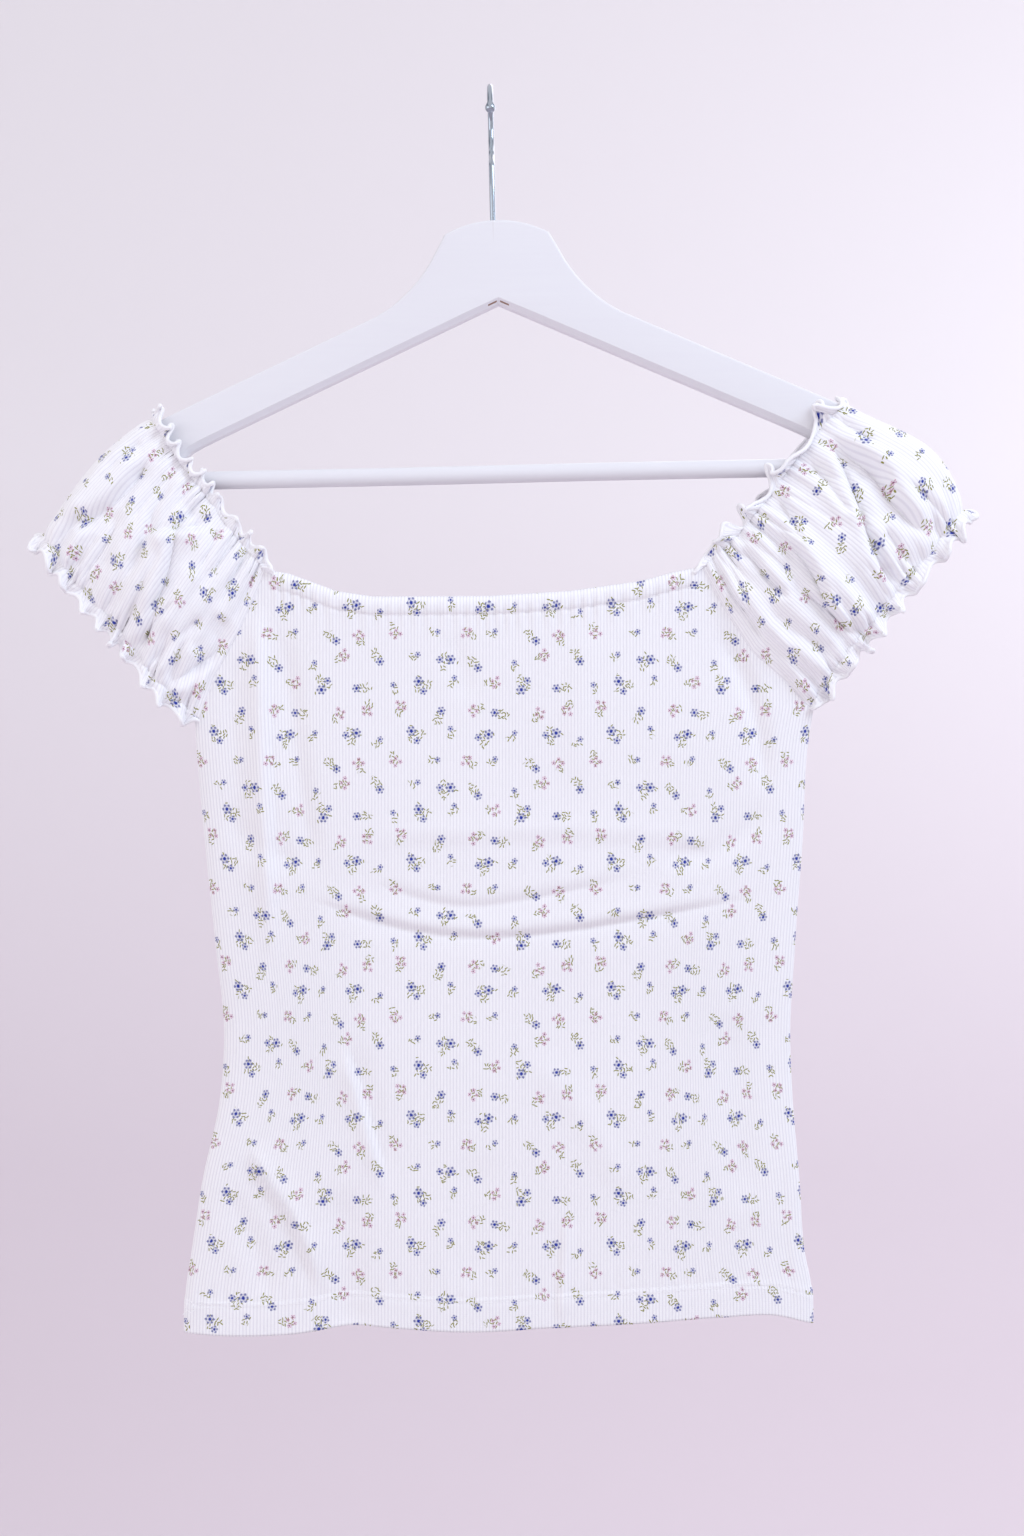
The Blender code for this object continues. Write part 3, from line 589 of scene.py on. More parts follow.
def sprig(tree, place, stroke_place, cloth, leaves, rough, kind, inks):
    """One kind of sprig on the cloth: sprays of small leaves, then flowers drawn in broken outline."""
    petal, heart = (inks["pink"], inks["plum"]) if kind == "blossom" else (inks["petal"], inks["heart"])
    covered, size = None, SPRIG_SIZE[kind]
    for across, up, length, width, turn in SPRAYS[kind]:
        halves = (length / 2 * size, width / 2 * size)
        spray = placed(tree, stroke_place, across * size, up * size, *halves, turn)
        far = vectors(tree, "LENGTH", spray)
        covered = far if covered is None else maths(tree, "MINIMUM", far, covered)
    shown = maths(tree, "MULTIPLY", inside(tree, covered, 1.0, 0.02), leaves)
    colour = ink(tree, cloth, shown, inks["leaf"])
    for across, up, radius, petals, turn in FLOWERS[kind]:
        flower = placed(tree, place, across * size, up * size, radius * size, radius * size, turn)
        far = maths(tree, "MULTIPLY_ADD", rough, 0.3, vectors(tree, "LENGTH", flower))
        x, y = apart(tree, flower)[:2]
        lobe = maths(tree, "COSINE", maths(tree, "MULTIPLY", maths(tree, "ARCTAN2", y, x), float(petals)))
        reach = maths(tree, "MULTIPLY_ADD", lobe, -0.1, far)
        pale = maths(tree, "MULTIPLY", inside(tree, reach, 0.88, 0.1), PALE_PETAL)
        colour = ink(tree, colour, pale, petal)
        rim = maths(tree, "ABSOLUTE", maths(tree, "SUBTRACT", far, PETAL_RIM))
        broken = maths(tree, "MULTIPLY_ADD", lobe, -0.14, rim)
        colour = ink(tree, colour, inside(tree, broken, 0.08, 0.07), petal)
        colour = ink(tree, colour, inside(tree, far, 0.32, 0.08), heart)
    return colour


def sprig_chart(tree, number):
    """The chart of the repeat, read at the number of a cell: its sprig's moves and turn, and its kind."""
    share = maths(tree, "MULTIPLY_ADD", number, 1 / len(REPEAT), 0.5 / len(REPEAT))
    chart = add(tree, "ShaderNodeValToRGB", {0: share})
    chart.color_ramp.interpolation = "CONSTANT"
    for i, (kind, right, up, turn) in enumerate(REPEAT):
        while len(chart.color_ramp.elements) <= i:
            chart.color_ramp.elements.new(i / len(REPEAT))
        element = chart.color_ramp.elements[i]
        element.position = i / len(REPEAT)
        moves = (right / CELL_REACH + 0.5, up / CELL_REACH + 0.5, turn / 360)
        element.color = (*moves, (KINDS.index(kind) + 0.5) / len(KINDS))
    return apart(tree, chart.outputs["Color"]), chart.outputs["Alpha"]


def flower_print(tree, place, cloth, inks):
    """The whole print, from a place in millimetres: rows of cells with one sprig each, moved sideways."""
    x, y = apart(tree, vectors(tree, "DIVIDE", place, (*CELL, 1)))[:2]
    row = maths(tree, "FLOORED_MODULO", maths(tree, "FLOOR", y), float(CELL_ROWS))
    across = maths(tree, "MULTIPLY_ADD", row, ROW_SHIFT, x)
    column = maths(tree, "FLOORED_MODULO", maths(tree, "FLOOR", across), float(CELL_COLUMNS))
    moves, kind_here = sprig_chart(tree, maths(tree, "MULTIPLY_ADD", column, float(CELL_ROWS), row))
    local = []
    for position, size, moved in ((across, CELL[0], moves[0]), (y, CELL[1], moves[1])):
        part = maths(tree, "FRACT", position)
        middle = maths(tree, "MULTIPLY_ADD", part, size, CELL_REACH / 2 - size / 2)
        local.append(maths(tree, "MULTIPLY_ADD", moved, -CELL_REACH, middle))
    from_sprig = add(tree, "ShaderNodeCombineXYZ", {0: local[0], 1: local[1]}).outputs[0]
    turn = maths(tree, "MULTIPLY", moves[2], 2 * math.pi)
    leaves, to_middle = small_leaves(tree, place)
    upright = turned(tree, from_sprig, turn)
    stroke_place = turned(tree, vectors(tree, "SUBTRACT", from_sprig, to_middle), turn)
    sockets = {"Vector": place, "Scale": 1.1, "Detail": 1.0}
    noise = add(tree, "ShaderNodeTexNoise", sockets, noise_dimensions="2D").outputs[0]
    rough = maths(tree, "SUBTRACT", noise, 0.5)
    colour = cloth
    for i, kind in enumerate(KINDS):
        chosen = maths(tree, "COMPARE", kind_here, (i + 0.5) / len(KINDS), 0.4 / len(KINDS))
        drawn = sprig(tree, upright, stroke_place, cloth, leaves, rough, kind, inks)
        colour = ink(tree, colour, chosen, drawn)
    return colour


def knit_finish(name, cloth_hex, width, ribs, lines, inks):
    """Printed cotton rib knit, matt and a little fuzzy. Painted shade darkens the valleys between its ribs by
    the share given as lines.
    """
    finish, tree, shader = new_finish(name, cloth_hex, 0.9, Sheen_Weight=0.12, Sheen_Roughness=0.5)
    shader.inputs["Specular IOR Level"].default_value = 0.25
    place = vectors(tree, "SCALE", add(tree, "ShaderNodeUVMap", uv_map=UV_MAP).outputs[0], 1 / MM)
    x, y = apart(tree, place)[:2]
    rib = maths(tree, "COSINE", maths(tree, "MULTIPLY", x, 2 * math.pi * ribs * MM / width))
    # The rib valleys, where painted shade falls.
    valley = ramp(tree, rib, 0.1, -1.0)
    colour = linear(cloth_hex)
    if inks:
        colour = flower_print(tree, place, colour, inks)
    # Painted shade: the print is darkened in the rib valleys by the share lines.
    dark = (1 - lines, 1 - 1.07 * lines, 1 - 0.86 * lines, 1)
    printed = ink(tree, colour, 1.0, ink(tree, WHITE, valley, dark), blend_type="MULTIPLY")
    tree.links.new(printed, shader.inputs["Base Color"])
    course = maths(tree, "SINE", maths(tree, "MULTIPLY", y, 2 * math.pi / COURSE_STEP))
    fuzz = add(tree, "ShaderNodeTexNoise", {"Vector": place, "Scale": 1.4, "Detail": 3.0}).outputs[0]
    height = maths(tree, "MULTIPLY_ADD", rib, 0.35, maths(tree, "MULTIPLY_ADD", course, 0.16, fuzz))
    bumped(tree, shader, height, 0.16 * MM, 0.7)
    return finish


def thread_finish(colour):
    """Spun polyester sewing thread, with a slight gloss and its twist as fine slanting lines."""
    finish, tree, shader = new_finish("spun polyester thread", colour, 0.6, Sheen_Weight=0.2)
    twist = add(tree, "ShaderNodeTexWave", {"Vector": here(tree), "Scale": 320.0}, bands_direction="DIAGONAL")
    bumped(tree, shader, twist.outputs[1], 0.1 * MM, 0.6)
    return finish


def joint_lines(tree, place, colour, bare):
    """Where the two arms meet: a hairline down the front, and two short open cracks at the apex."""
    at = apart(tree, turned(tree, place, HANGER_TILT, "Y_AXIS"))
    x, z = at[0], at[2]
    line = ramp(tree, maths(tree, "ABSOLUTE", x), 0.4 * MM, 0.1 * MM, 0.0, 0.12)
    at_top = ramp(tree, z, HANGER_TOP - 14 * MM, HANGER_TOP - 6 * MM)
    colour = ink(tree, colour, maths(tree, "MULTIPLY", line, at_top), linear(bare))
    off = maths(tree, "ABSOLUTE", maths(tree, "SUBTRACT", x, WOOD_SHIFT))
    slope = maths(tree, "MULTIPLY_ADD", off, math.tan(ARM_ANGLE), z)
    crack = maths(tree, "COMPARE", slope, HANGER_APEX + 1.7 * MM, 0.42 * MM)
    reach = maths(tree, "COMPARE", off, 3.6 * MM, 2.6 * MM)
    return ink(tree, colour, maths(tree, "MULTIPLY", crack, reach), linear(bare))


def paint_finish(name, paint, bare, jointed):
    """White satin paint brushed on beech, with faint grain and brush marks along X, and its joint."""
    finish, tree, shader = new_finish(name, paint, 0.38, Coat_Weight=0.15, Coat_Roughness=0.3)
    place = here(tree)
    long_way = add(tree, "ShaderNodeMapping", {"Vector": place, "Scale": (9, 160, 160)}).outputs[0]
    grain = add(tree, "ShaderNodeTexNoise", {"Vector": long_way, "Scale": 3.0, "Detail": 5.0}).outputs[0]
    bumped(tree, shader, grain, 0.12 * MM, 0.2)
    tree.links.new(ramp(tree, grain, 0.3, 0.7, 0.33, 0.46), shader.inputs["Roughness"])
    colour = ink(tree, linear(paint), ramp(tree, grain, 0.35, 0.75, 0.0, 0.1), linear(GRAIN_COLOUR))
    if jointed:
        colour = joint_lines(tree, place, colour, bare)
    tree.links.new(colour, shader.inputs["Base Color"])
    return finish


def wire_finish(colour):
    """Drawn steel wire with bright zinc plating: mirror-like, a little cloudy along its length."""
    finish, tree, shader = new_finish("zinc-plated drawn steel wire", colour, 0.14, Metallic=1.0)
    cloudy = add(tree, "ShaderNodeTexNoise", {"Vector": here(tree), "Scale": 90.0, "Detail": 2.0}).outputs[0]
    tree.links.new(ramp(tree, cloudy, 0.3, 0.7, 0.1, 0.18), shader.inputs["Roughness"])
    return finish


def wall_finish(wall, floor):
    """Matt wall paint, with painted shade that darkens it towards the floor, where it takes the floor's own
    colour.
    """
    finish, tree, shader = new_finish("matt wall and floor", wall, 0.95)
    # Painted shade: lower down, the wall blends into the floor colour.
    low = ramp(tree, apart(tree, here(tree))[2], *WALL_SHADE_HEIGHTS)
    tree.links.new(ink(tree, linear(wall), low, linear(floor)), shader.inputs["Base Color"])
    return finish


# Cloth


def belongs(piece, slot, *replaced):
    """A finished piece: it rides on the part's one body, and the solids that it replaces are hidden. Its slot
    is not used.
    """
    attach(piece, "root")
    if replaced:
        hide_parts(*replaced)


def cloth_piece(name, us, vs, place, weigh, lay_flat, finishes):
    """A panel of cloth with its own map in metres, turned outwards and made as thick as it is sewn."""
    bpy.ops.object.select_all(action="DESELECT")
    bpy.ops.mesh.primitive_grid_add(x_subdivisions=len(us) - 1, y_subdivisions=len(vs) - 1, size=1)
    panel = bpy.context.object
    panel.name = panel.data.name = name
    mesh = panel.data
    flat = np.empty(len(mesh.vertices) * 3)
    mesh.vertices.foreach_get("co", flat)
    flat = flat.reshape(-1, 3)[:, :2] + 0.5
    column = np.rint(flat[:, 0] * (len(us) - 1)).astype(int)
    row = np.rint(flat[:, 1] * (len(vs) - 1)).astype(int)
    points = place(np.asarray(us, float)[:, None], np.asarray(vs, float)[None, :])
    mesh.vertices.foreach_set("co", points[column, row].ravel())
    mesh.update()
    while mesh.uv_layers:
        mesh.uv_layers.remove(mesh.uv_layers[0])
    cloth_map = mesh.uv_layers.new(name=UV_MAP)
    corner = np.empty(len(mesh.loops), int)
    mesh.loops.foreach_get("vertex_index", corner)
    across, along = lay_flat(np.asarray(us)[:, None], np.asarray(vs)[None, :], points)
    uv = np.stack(np.broadcast_arrays(across, along), axis=-1)[column, row]
    cloth_map.data.foreach_set("uv", uv[corner].ravel())
    outward = sum(p.normal.y * p.center.y * p.area for p in mesh.polygons)
    if outward < 0:
        mesh.flip_normals()
    for finish in finishes:
        mesh.materials.append(finish)
    thickness = np.broadcast_to(weigh(points), points.shape[:2])[column, row]
    group = panel.vertex_groups.new(name="thickness")
    for share in np.unique(np.round(thickness / CASING_THICKNESS, 3)):
        chosen = np.nonzero(np.abs(thickness / CASING_THICKNESS - share) < 0.0006)[0]
        group.add(chosen.tolist(), float(share), "REPLACE")
    wall = panel.modifiers.new("wall", "SOLIDIFY")
    wall.thickness = CASING_THICKNESS
    wall.offset = 0
    wall.use_even_offset = False
    wall.vertex_group = group.name
    wall.material_offset = 1
    bpy.ops.object.modifier_apply(modifier=wall.name)
    panel.vertex_groups.clear()
    mesh.shade_smooth()
    return panel


def section(u):
    """Where a share u of the way round half the body's section lies: (across -1 to 1, depth 0 to 1)."""
    angle = np.linspace(math.pi, 0, SECTION_SAMPLES)
    across = np.sign(np.cos(angle)) * np.abs(np.cos(angle)) ** (2 / SECTION_POWER)
    depth = np.abs(np.sin(angle)) ** (2 / SECTION_POWER)
    steps = np.hypot(np.diff(across), np.diff(depth) * SECTION_ASPECT)
    along = np.concatenate([[0], np.cumsum(steps)])
    along /= along[-1]
    return np.interp(u, along, across), np.interp(u, along, depth)


def side_edges(z):
    """The left and right edges of the body at a height."""
    return curve(BODY_SIDES["z"], BODY_SIDES["left"], z), curve(BODY_SIDES["z"], BODY_SIDES["right"], z)


def mirrored(rows, across, up):
    """The folds of a face as the face behind it has them."""
    made = {name: values.copy() for name, values in rows.items()}
    for i in "1234":
        made["x" + i] = across * MM - rows["x" + i]
        made["z" + i] = rows["z" + i] + up * MM
    made["height"] = rows["height"] * MIRRORED_DEPTH
    made["step"] = -rows["step"] * MIRRORED_DEPTH
    return made


def seen_flat(points):
    """Where points are seen on the middle plane from the camera's distance, in front of it or behind it."""
    nearer = -CAMERA_PLACE[1] / (-CAMERA_PLACE[1] - np.abs(points[..., 1]))
    x = CAMERA_PLACE[0] + (points[..., 0] - CAMERA_PLACE[0]) * nearer
    return x, CAMERA_PLACE[2] + (points[..., 2] - CAMERA_PLACE[2]) * nearer


def fold_relief(x, z, rows):
    """How far charted folds move the cloth outwards: each a soft ridge or valley and a sharp pleat, which
    has a narrow cleft along its low side."""
    moved = np.zeros(np.broadcast(x, z).shape)
    x, z = np.broadcast_arrays(x, z)
    for *places, height, step, width in zip(*rows.values()):
        finer = np.linspace(0, 1, FOLD_PIECES + 1)
        xs, zs = (curve(np.linspace(0, 1, 4), places[k::2], finer) for k in (0, 1))
        nearest, off, along = np.full(x.shape, np.inf), np.zeros(x.shape), np.zeros(x.shape)
        for i in range(FOLD_PIECES):
            ax, az = xs[i + 1] - xs[i], zs[i + 1] - zs[i]
            share = np.clip(((x - xs[i]) * ax + (z - zs[i]) * az) / (ax**2 + az**2), 0, 1)
            dx, dz = x - xs[i] - share * ax, z - zs[i] - share * az
            far = np.hypot(dx, dz)
            closer = far < nearest
            off = np.where(closer, far * np.sign(ax * dz - az * dx), off)
            along = np.where(closer, (i + share) / FOLD_PIECES, along)
            nearest = np.minimum(nearest, far)
        ends = smooth(along / 0.22) * smooth((1 - along) / 0.22)
        off = off / width
        cleft = 0.55 * abs(step) * bell(off * np.sign(step) + 0.7, 0.38)
        moved = moved + ends * (height * bell(off, 1) + step * off * np.exp(1 - np.abs(off)) - cleft)
    return moved


def body_folds(x, z, face):
    """How far the folds move the cloth of the body outwards."""
    return fold_relief(x, z, BODY_FOLDS if face == FRONT else mirrored(BODY_FOLDS, *BODY_MIRROR))


def body_y(across_depth, x, z, face):
    """The cloth's distance from the middle plane, signed, at a place on the body."""
    half = curve(BODY_DEPTH["z"], BODY_DEPTH["half"], z)
    flat_share = smooth((across_depth - 0.45) / 0.35)
    return face * (half * across_depth + body_folds(x, z, face) * flat_share)


def top_edge(x):
    """The height of the body's top edge: the neckline, and the raglan seams beside it."""
    return np.interp(x, TOP_EDGE["x"], TOP_EDGE["z"])


def panel_smooth(u, v, face):
    """Points of a body panel without its ribs, u from the left side seam to the right one, v from the hem up.
    Its ribs hang straight down the middle and follow the sides only near them."""
    across, depth = section(u)
    left, right = side_edges(np.array(BODY_SIDES["z"][-1]))
    reference = left + (right - left) * (across + 1) / 2
    top = top_edge(reference) - (BACK_DROP if face == BACK else 0)
    hem = curve(HEM_EDGE["x"], HEM_EDGE["z"], reference) + (BACK_HEM_RISE if face == BACK else 0)
    z = hem + (top - hem) * v
    near, far = side_edges(z)
    pull = smooth((np.abs(across) - 0.4) / 0.55)
    x = reference + np.where(across < 0, near - left, far - right) * pull
    return np.stack([x, body_y(depth + 0 * z, x, z, face), z + 0 * x], axis=-1)


def neck_window(x):
    """1 along the neckline between the sleeves, fading at its ends."""
    return smooth((x - NECK_LEFT) / (8 * MM)) * smooth((NECK_RIGHT - x) / (8 * MM))


def bell(distance, width):
    """A soft bump, 1 at distance 0."""
    return np.exp(-((distance / width) ** 2))


def panel_relief(u, points):
    """Ribs, stitch grooves and puckers of a body panel, outwards from its smooth form."""
    x, z = points[..., 0], points[..., 2]
    below, above = z[:, -1:] - z, z - z[:, :1]
    ribs = bpy.context.scene.knit_top_cloth.rib_height * np.cos(2 * math.pi * BODY_RIBS * u)
    step = x / PUCKER_STEP + 0.45 * np.sin(x / (23 * MM)) + 0.25 * np.sin(x / (9 * MM))
    pucker = np.cos(2 * math.pi * step) * (0.75 + 0.25 * np.sin(x / (31 * MM)))
    casing = pucker * (0.55 * bell(below - 13 * MM, 7 * MM) + 0.3 * bell(below - 6 * MM, 4 * MM))
    roll = 0.4 * bell(below - 4.5 * MM, 3.5 * MM) - 2.2 * bell(below, 1.3 * MM)
    casing = (casing + roll - 0.3 * bell(below - CASING_DEPTH, 1.0 * MM)) * neck_window(x)
    ribs = ribs * (1 - 0.75 * bell(below, 3 * MM))
    hem = 0.22 * np.cos(2 * math.pi * step * 0.83) * bell(above - 23 * MM, 7 * MM)
    hem = hem - 0.3 * bell(above - 17.5 * MM, 0.8 * MM) - 0.3 * bell(above - HEM_DEPTH - 0.3 * MM, 0.8 * MM)
    soft = 0.5 * np.sin(x / (29 * MM) + z / (53 * MM)) * np.sin(z / (34 * MM) - x / (71 * MM))
    return ribs + (casing + hem + soft) * MM


def panel_normals(points, face):
    """Unit normals of a body panel, outwards."""
    found = normals_of(points)
    return found * np.sign(found[len(found) // 2, found.shape[1] // 2, 1]) * face


def panel_place(u, v, face):
    """Points of a body panel with all its relief."""
    points = panel_smooth(u, v, face)
    edges = smooth(u / 0.012) * smooth((1 - u) / 0.012)
    return points + panel_normals(points, face) * (panel_relief(u, points) * edges)[..., None]


def panel_rows():
    """Shares of the height for the rows, close together at the stitch lines and the long storage fold."""
    bottom, top = HEM_EDGE["z"][6], TOP_EDGE["z"][8]
    hem, casing = HEM_ROWS / (top - bottom), 1 - CASING_ROWS[::-1] / (top - bottom)
    low, high = ((z - bottom) / (top - bottom) for z in FINE_ROWS)
    below = (1 - FINE_SHARE) * (low - hem[-1]) / (low - hem[-1] + casing[0] - high)
    shares = (0, below, below + FINE_SHARE, 1)
    middle = np.interp(np.linspace(0, 1, MIDDLE_ROWS + 2)[1:-1], shares, (hem[-1], low, high, casing[0]))
    return np.concatenate([hem, middle, casing])


def panel_thickness(points):
    """Cloth is doubled at the hem, and doubled over elastic at the neck casing."""
    x, z = points[..., 0], points[..., 2]
    below, above = z[:, -1:] - z, z - z[:, :1]
    at_hem = (HEM_THICKNESS - CLOTH) * smooth((HEM_DEPTH + 1.5 * MM - above) / (2.5 * MM))
    at_casing = (CASING_THICKNESS - CLOTH) * smooth((CASING_DEPTH + 0.5 * MM - below) / (2.5 * MM))
    return CLOTH + at_hem + at_casing * neck_window(x)


def seam_points(side, face, share):
    """Points along a raglan seam, from the neckline (share 0) to the underarm (share 1)."""
    left, right = side_edges(np.array(BODY_SIDES["z"][-1]))
    middle, half = (left + right) / 2, (right - left) / 2
    if side == "left":
        x = NECK_LEFT + (middle - UNDERARM_SHARE * half - NECK_LEFT) * share
    else:
        x = NECK_RIGHT + (middle + UNDERARM_SHARE * half - NECK_RIGHT) * share
    z = top_edge(x) - (BACK_DROP if face == BACK else 0)
    across = (x - middle) / half
    depth = (1 - np.abs(across) ** SECTION_POWER) ** (1 / SECTION_POWER)
    return np.stack([x, body_y(depth, x, z, face), z], axis=-1)


def over_the_fold(h):
    """From the seam (0) to the top fold (1): the share of the way across, and the fold's rounding."""
    flat = 1 - FOLD_RADIUS / HALF_SLEEVE
    arc = flat + math.pi / 2 * FOLD_RADIUS / HALF_SLEEVE
    turn = np.clip((h * arc - flat) * HALF_SLEEVE / FOLD_RADIUS, 0, math.pi / 2)
    across = np.where(h * arc < flat, h * arc, flat + np.sin(turn) * FOLD_RADIUS / HALF_SLEEVE)
    return across, np.cos(turn)


def edge_line(edge, share):
    """Points of a gathered edge in the plane."""
    shares = np.linspace(0, 1, len(edge["x"]))
    return np.stack([curve(shares, edge["x"], share), curve(shares, edge["z"], share)], axis=-1)


def wave_phase(count, unevenness):
    """The share of the way round at which each whole wave starts: uneven, as gathers are."""
    widths = 1 + unevenness * np.sin(2.4 * np.arange(count) + 0.8)
    return np.concatenate([[0], np.cumsum(widths)]) / widths.sum()


def small_creases(side, face):
    """Many small creases that run out from the two elastics, in the columns of CREASE_COLUMNS."""
    random = np.random.default_rng(CREASE_SEED + 2 * (side == "right") + (face == BACK))
    rows = []
    for i in range(SMALL_CREASES):
        start = (i + random.uniform(0.2, 0.8)) / SMALL_CREASES
        at_neck = i % 2 == 0
        first = 0.0 if at_neck else random.uniform(0.5, 0.75)
        last = random.uniform(0.25, 0.55) if at_neck else 1.0
        end = start + random.uniform(-0.1, 0.08)
        rows.append((start, end, first, last, random.uniform(0.8, 2.0), random.uniform(1.8, 3.2)))
    return rows


def crease_depth(side, face, across, length_share):
    """How far the small creases move the cloth inwards: each a sharp valley with a soft ridge beside it."""
    moved = np.zeros(np.broadcast(across, length_share).shape)
    for row in small_creases(side, face):
        c = dict(zip(CREASE_COLUMNS, row))
        line = c["neck"] + (c["cuff"] - c["neck"]) * length_share
        line = line + 0.018 * np.sin(5.5 * length_share + 9 * c["neck"])
        off = (across - line) * HALF_SLEEVE
        width = c["width"] * MM
        ends = smooth((length_share - c["first"]) / 0.1) * smooth((c["last"] - length_share) / 0.1)
        core = np.exp(-np.abs(off / (0.4 * width)) ** 1.25)
        shape = 0.75 * core + 0.6 * bell(off, width) - 0.6 * bell(off - 1.9 * width, 1.3 * width)
        moved += c["depth"] * MM * ends * shape
    return moved


def sleeve_place(u, t, side):
    """Points of a sleeve: u from the front raglan seam over the fold to the back one, and t from -1 at the
    neck ruffle's edge, through 0 and 1 at the elastics, to 2 at the cuff ruffle's edge."""
    edges = SLEEVE_EDGES[side]
    u, t = np.broadcast_arrays(u, t)
    face = np.where(u <= 0.5, FRONT, BACK)
    across, rounding = over_the_fold(1 - np.abs(1 - 2 * u))
    length_share = np.clip(t, 0, 1)
    neck, cuff = edge_line(edges["neck"], across), edge_line(edges["cuff"], across)
    plane = neck + (cuff - neck) * length_share[..., None]
    seam = np.where(
        (face == FRONT)[..., None],
        seam_points(side, FRONT, length_share),
        seam_points(side, BACK, length_share),
    )
    away = -1 if side == "left" else 1
    start_neck, start_cuff = edge_line(edges["neck"], 0.0), edge_line(edges["cuff"], 0.0)
    straight = start_neck + (start_cuff - start_neck) * length_share[..., None]
    to_seam = seam[..., [0, 2]] - straight - np.array([away, 0]) * SEAM_OVERLAP
    plane = plane + to_seam * ((1 - across) ** 3)[..., None]
    fold_line = edge_line(edges["cuff"], 1.0) - edge_line(edges["neck"], 1.0)
    outward = np.array([away * -fold_line[1], away * fold_line[0]]) / np.linalg.norm(fold_line)
    bow = edges["fold_bow"] * np.sin(math.pi * length_share ** edges["bow_power"]) * across**2
    plane = plane + outward * bow[..., None]
    shares = np.array(SLEEVE_FULLNESS["share"])
    fold = FOLD_RADIUS + np.interp(length_share, shares, SLEEVE_FULLNESS["fold"]) * MM
    puff = curve(shares, np.array(SLEEVE_FULLNESS["puff"]) * MM, length_share)
    seam_off = np.abs(seam[..., 1])
    off = seam_off + (fold - seam_off) * smooth(across / 0.25)
    off = off + puff * np.sin(math.pi * np.clip(across, 0, 1)) ** 0.8
    off = off + RUFFLE_FLARE * np.clip(-t, 0, 1) * smooth((across - 0.5) / 0.15)
    points = np.stack([plane[..., 0], face * off * rounding, plane[..., 1]], axis=-1)
    along = neck - cuff
    along = along / np.linalg.norm(along, axis=-1, keepdims=True)
    near_seam = smooth((1 - np.abs(1 - 2 * u)) / 0.06)
    number = gather_number(u, side)
    shown = (0.15 + 0.85 * near_seam) * (1 - (1 - BACK_RUFFLE) * smooth((u - 0.47) / 0.06))
    past_neck = np.clip(-t, 0, 1) * ruffle_length(number, side, "neck") * shown
    past_cuff = np.clip(t - 1, 0, 1) * ruffle_length(number, side, "cuff") * shown
    points[..., 0] += along[..., 0] * (past_neck - past_cuff)
    points[..., 2] += along[..., 1] * (past_neck - past_cuff)
    over_casing = np.clip(-t, 0, 1) * (1 - smooth(across / 0.16))
    aside, proud, down = (over_casing * moved for moved in RUFFLE_END)
    points += np.stack([-away * aside, face * proud, -down], axis=-1)
    out = normals_of(points)
    around = np.gradient(points, axis=0)
    around /= np.linalg.norm(around, axis=-1, keepdims=True)
    curl = ruffle_curl(number, t, side) * near_seam
    relief = sleeve_relief(u, t, side, points, across, near_seam)
    return points + out * relief[..., None] + around * curl[..., None]


def normals_of(points):
    """Unit normals of a grid of points, outwards on a sleeve."""
    around, along = np.gradient(points, axis=0), np.gradient(points, axis=1)
    found = np.cross(around, along)
    found /= np.linalg.norm(found, axis=-1, keepdims=True)
    middle = found.shape[0] // 4
    return found if found[middle, found.shape[1] // 2, 1] < 0 else -found


def gather_number(u, side):
    """Which gather a place on a sleeve is in, counted from the front seam."""
    starts = wave_phase(WAVES, WAVE_UNEVENNESS if side == "left" else -WAVE_UNEVENNESS)
    return np.interp(u, starts, np.arange(WAVES + 1)) + (0 if side == "left" else 0.5)


def sleeve_relief(u, t, side, points, across, near_seam):
    """Gathers, folds, shirring and ribs of a sleeve, outwards from its smooth form."""
    share = np.clip(t, 0, 1)
    number = gather_number(u + 0.006 * np.sin(5 * share + 14 * u), side)
    wave = 1 - 2 * np.clip((1 - np.cos(2 * math.pi * number)) / 2, 0, 1) ** 1.5
    uneven = 1 + 0.25 * np.sin(1.7 * number + 0.4)
    past = np.clip(np.maximum(-t, t - 1), 0, 1)
    gathers = curve(GATHERS["station"], np.array(GATHERS["height"]) * MM, t)
    gathers = gathers * wave * uneven * (1 - 0.8 * past)
    lean = np.where(t < 0, ruffle_lean(number, side, "neck"), ruffle_lean(number, side, "cuff"))
    gathers = gathers * (1 - 0.5 * past) + (lean * uneven + 1.8 * MM) * past
    near_elastic = bell(share, 0.15) + bell(1 - share, 0.12)
    fine = np.cos(2 * math.pi * (2.6 * number + 0.35 * np.sin(number)))
    fine = (1 - 2 * np.clip((1 - fine) / 2, 0, 1) ** 1.8) * (0.6 + 0.4 * np.sin(2.9 * number))
    gathers = gathers + 1.2 * MM * near_elastic * fine * (1 - past)
    drawn_in = 0.45 * MM * (bell(t * SLEEVE_LENGTH, 1.6 * MM) + bell((1 - t) * SLEEVE_LENGTH, 1.6 * MM))
    x, z = seen_flat(points)
    other = "right" if side == "left" else "left"
    front = fold_relief(x, z, SLEEVE_FOLDS[side]) - crease_depth(side, FRONT, across, share)
    back = fold_relief(x, z, mirrored(SLEEVE_FOLDS[other], *SLEEVE_MIRROR[side]))
    back = back - crease_depth(side, BACK, across, share)
    folds = np.where(u <= 0.5, front, back) * smooth((1.02 - across) / 0.1)
    ends = smooth(t / 0.07) * smooth((1 - t) / 0.07)
    top_calm = 1 - 0.6 * smooth((across - 0.6) / 0.12) * smooth((0.45 - t) / 0.2) * smooth((t + 0.3) / 0.3)
    ribs = bpy.context.scene.knit_top_cloth.rib_height * SLEEVE_RIB_SHARE
    ribs = ribs * np.cos(2 * math.pi * SLEEVE_RIBS * u)
    return (gathers * top_calm + folds * ends - drawn_in + ribs) * near_seam


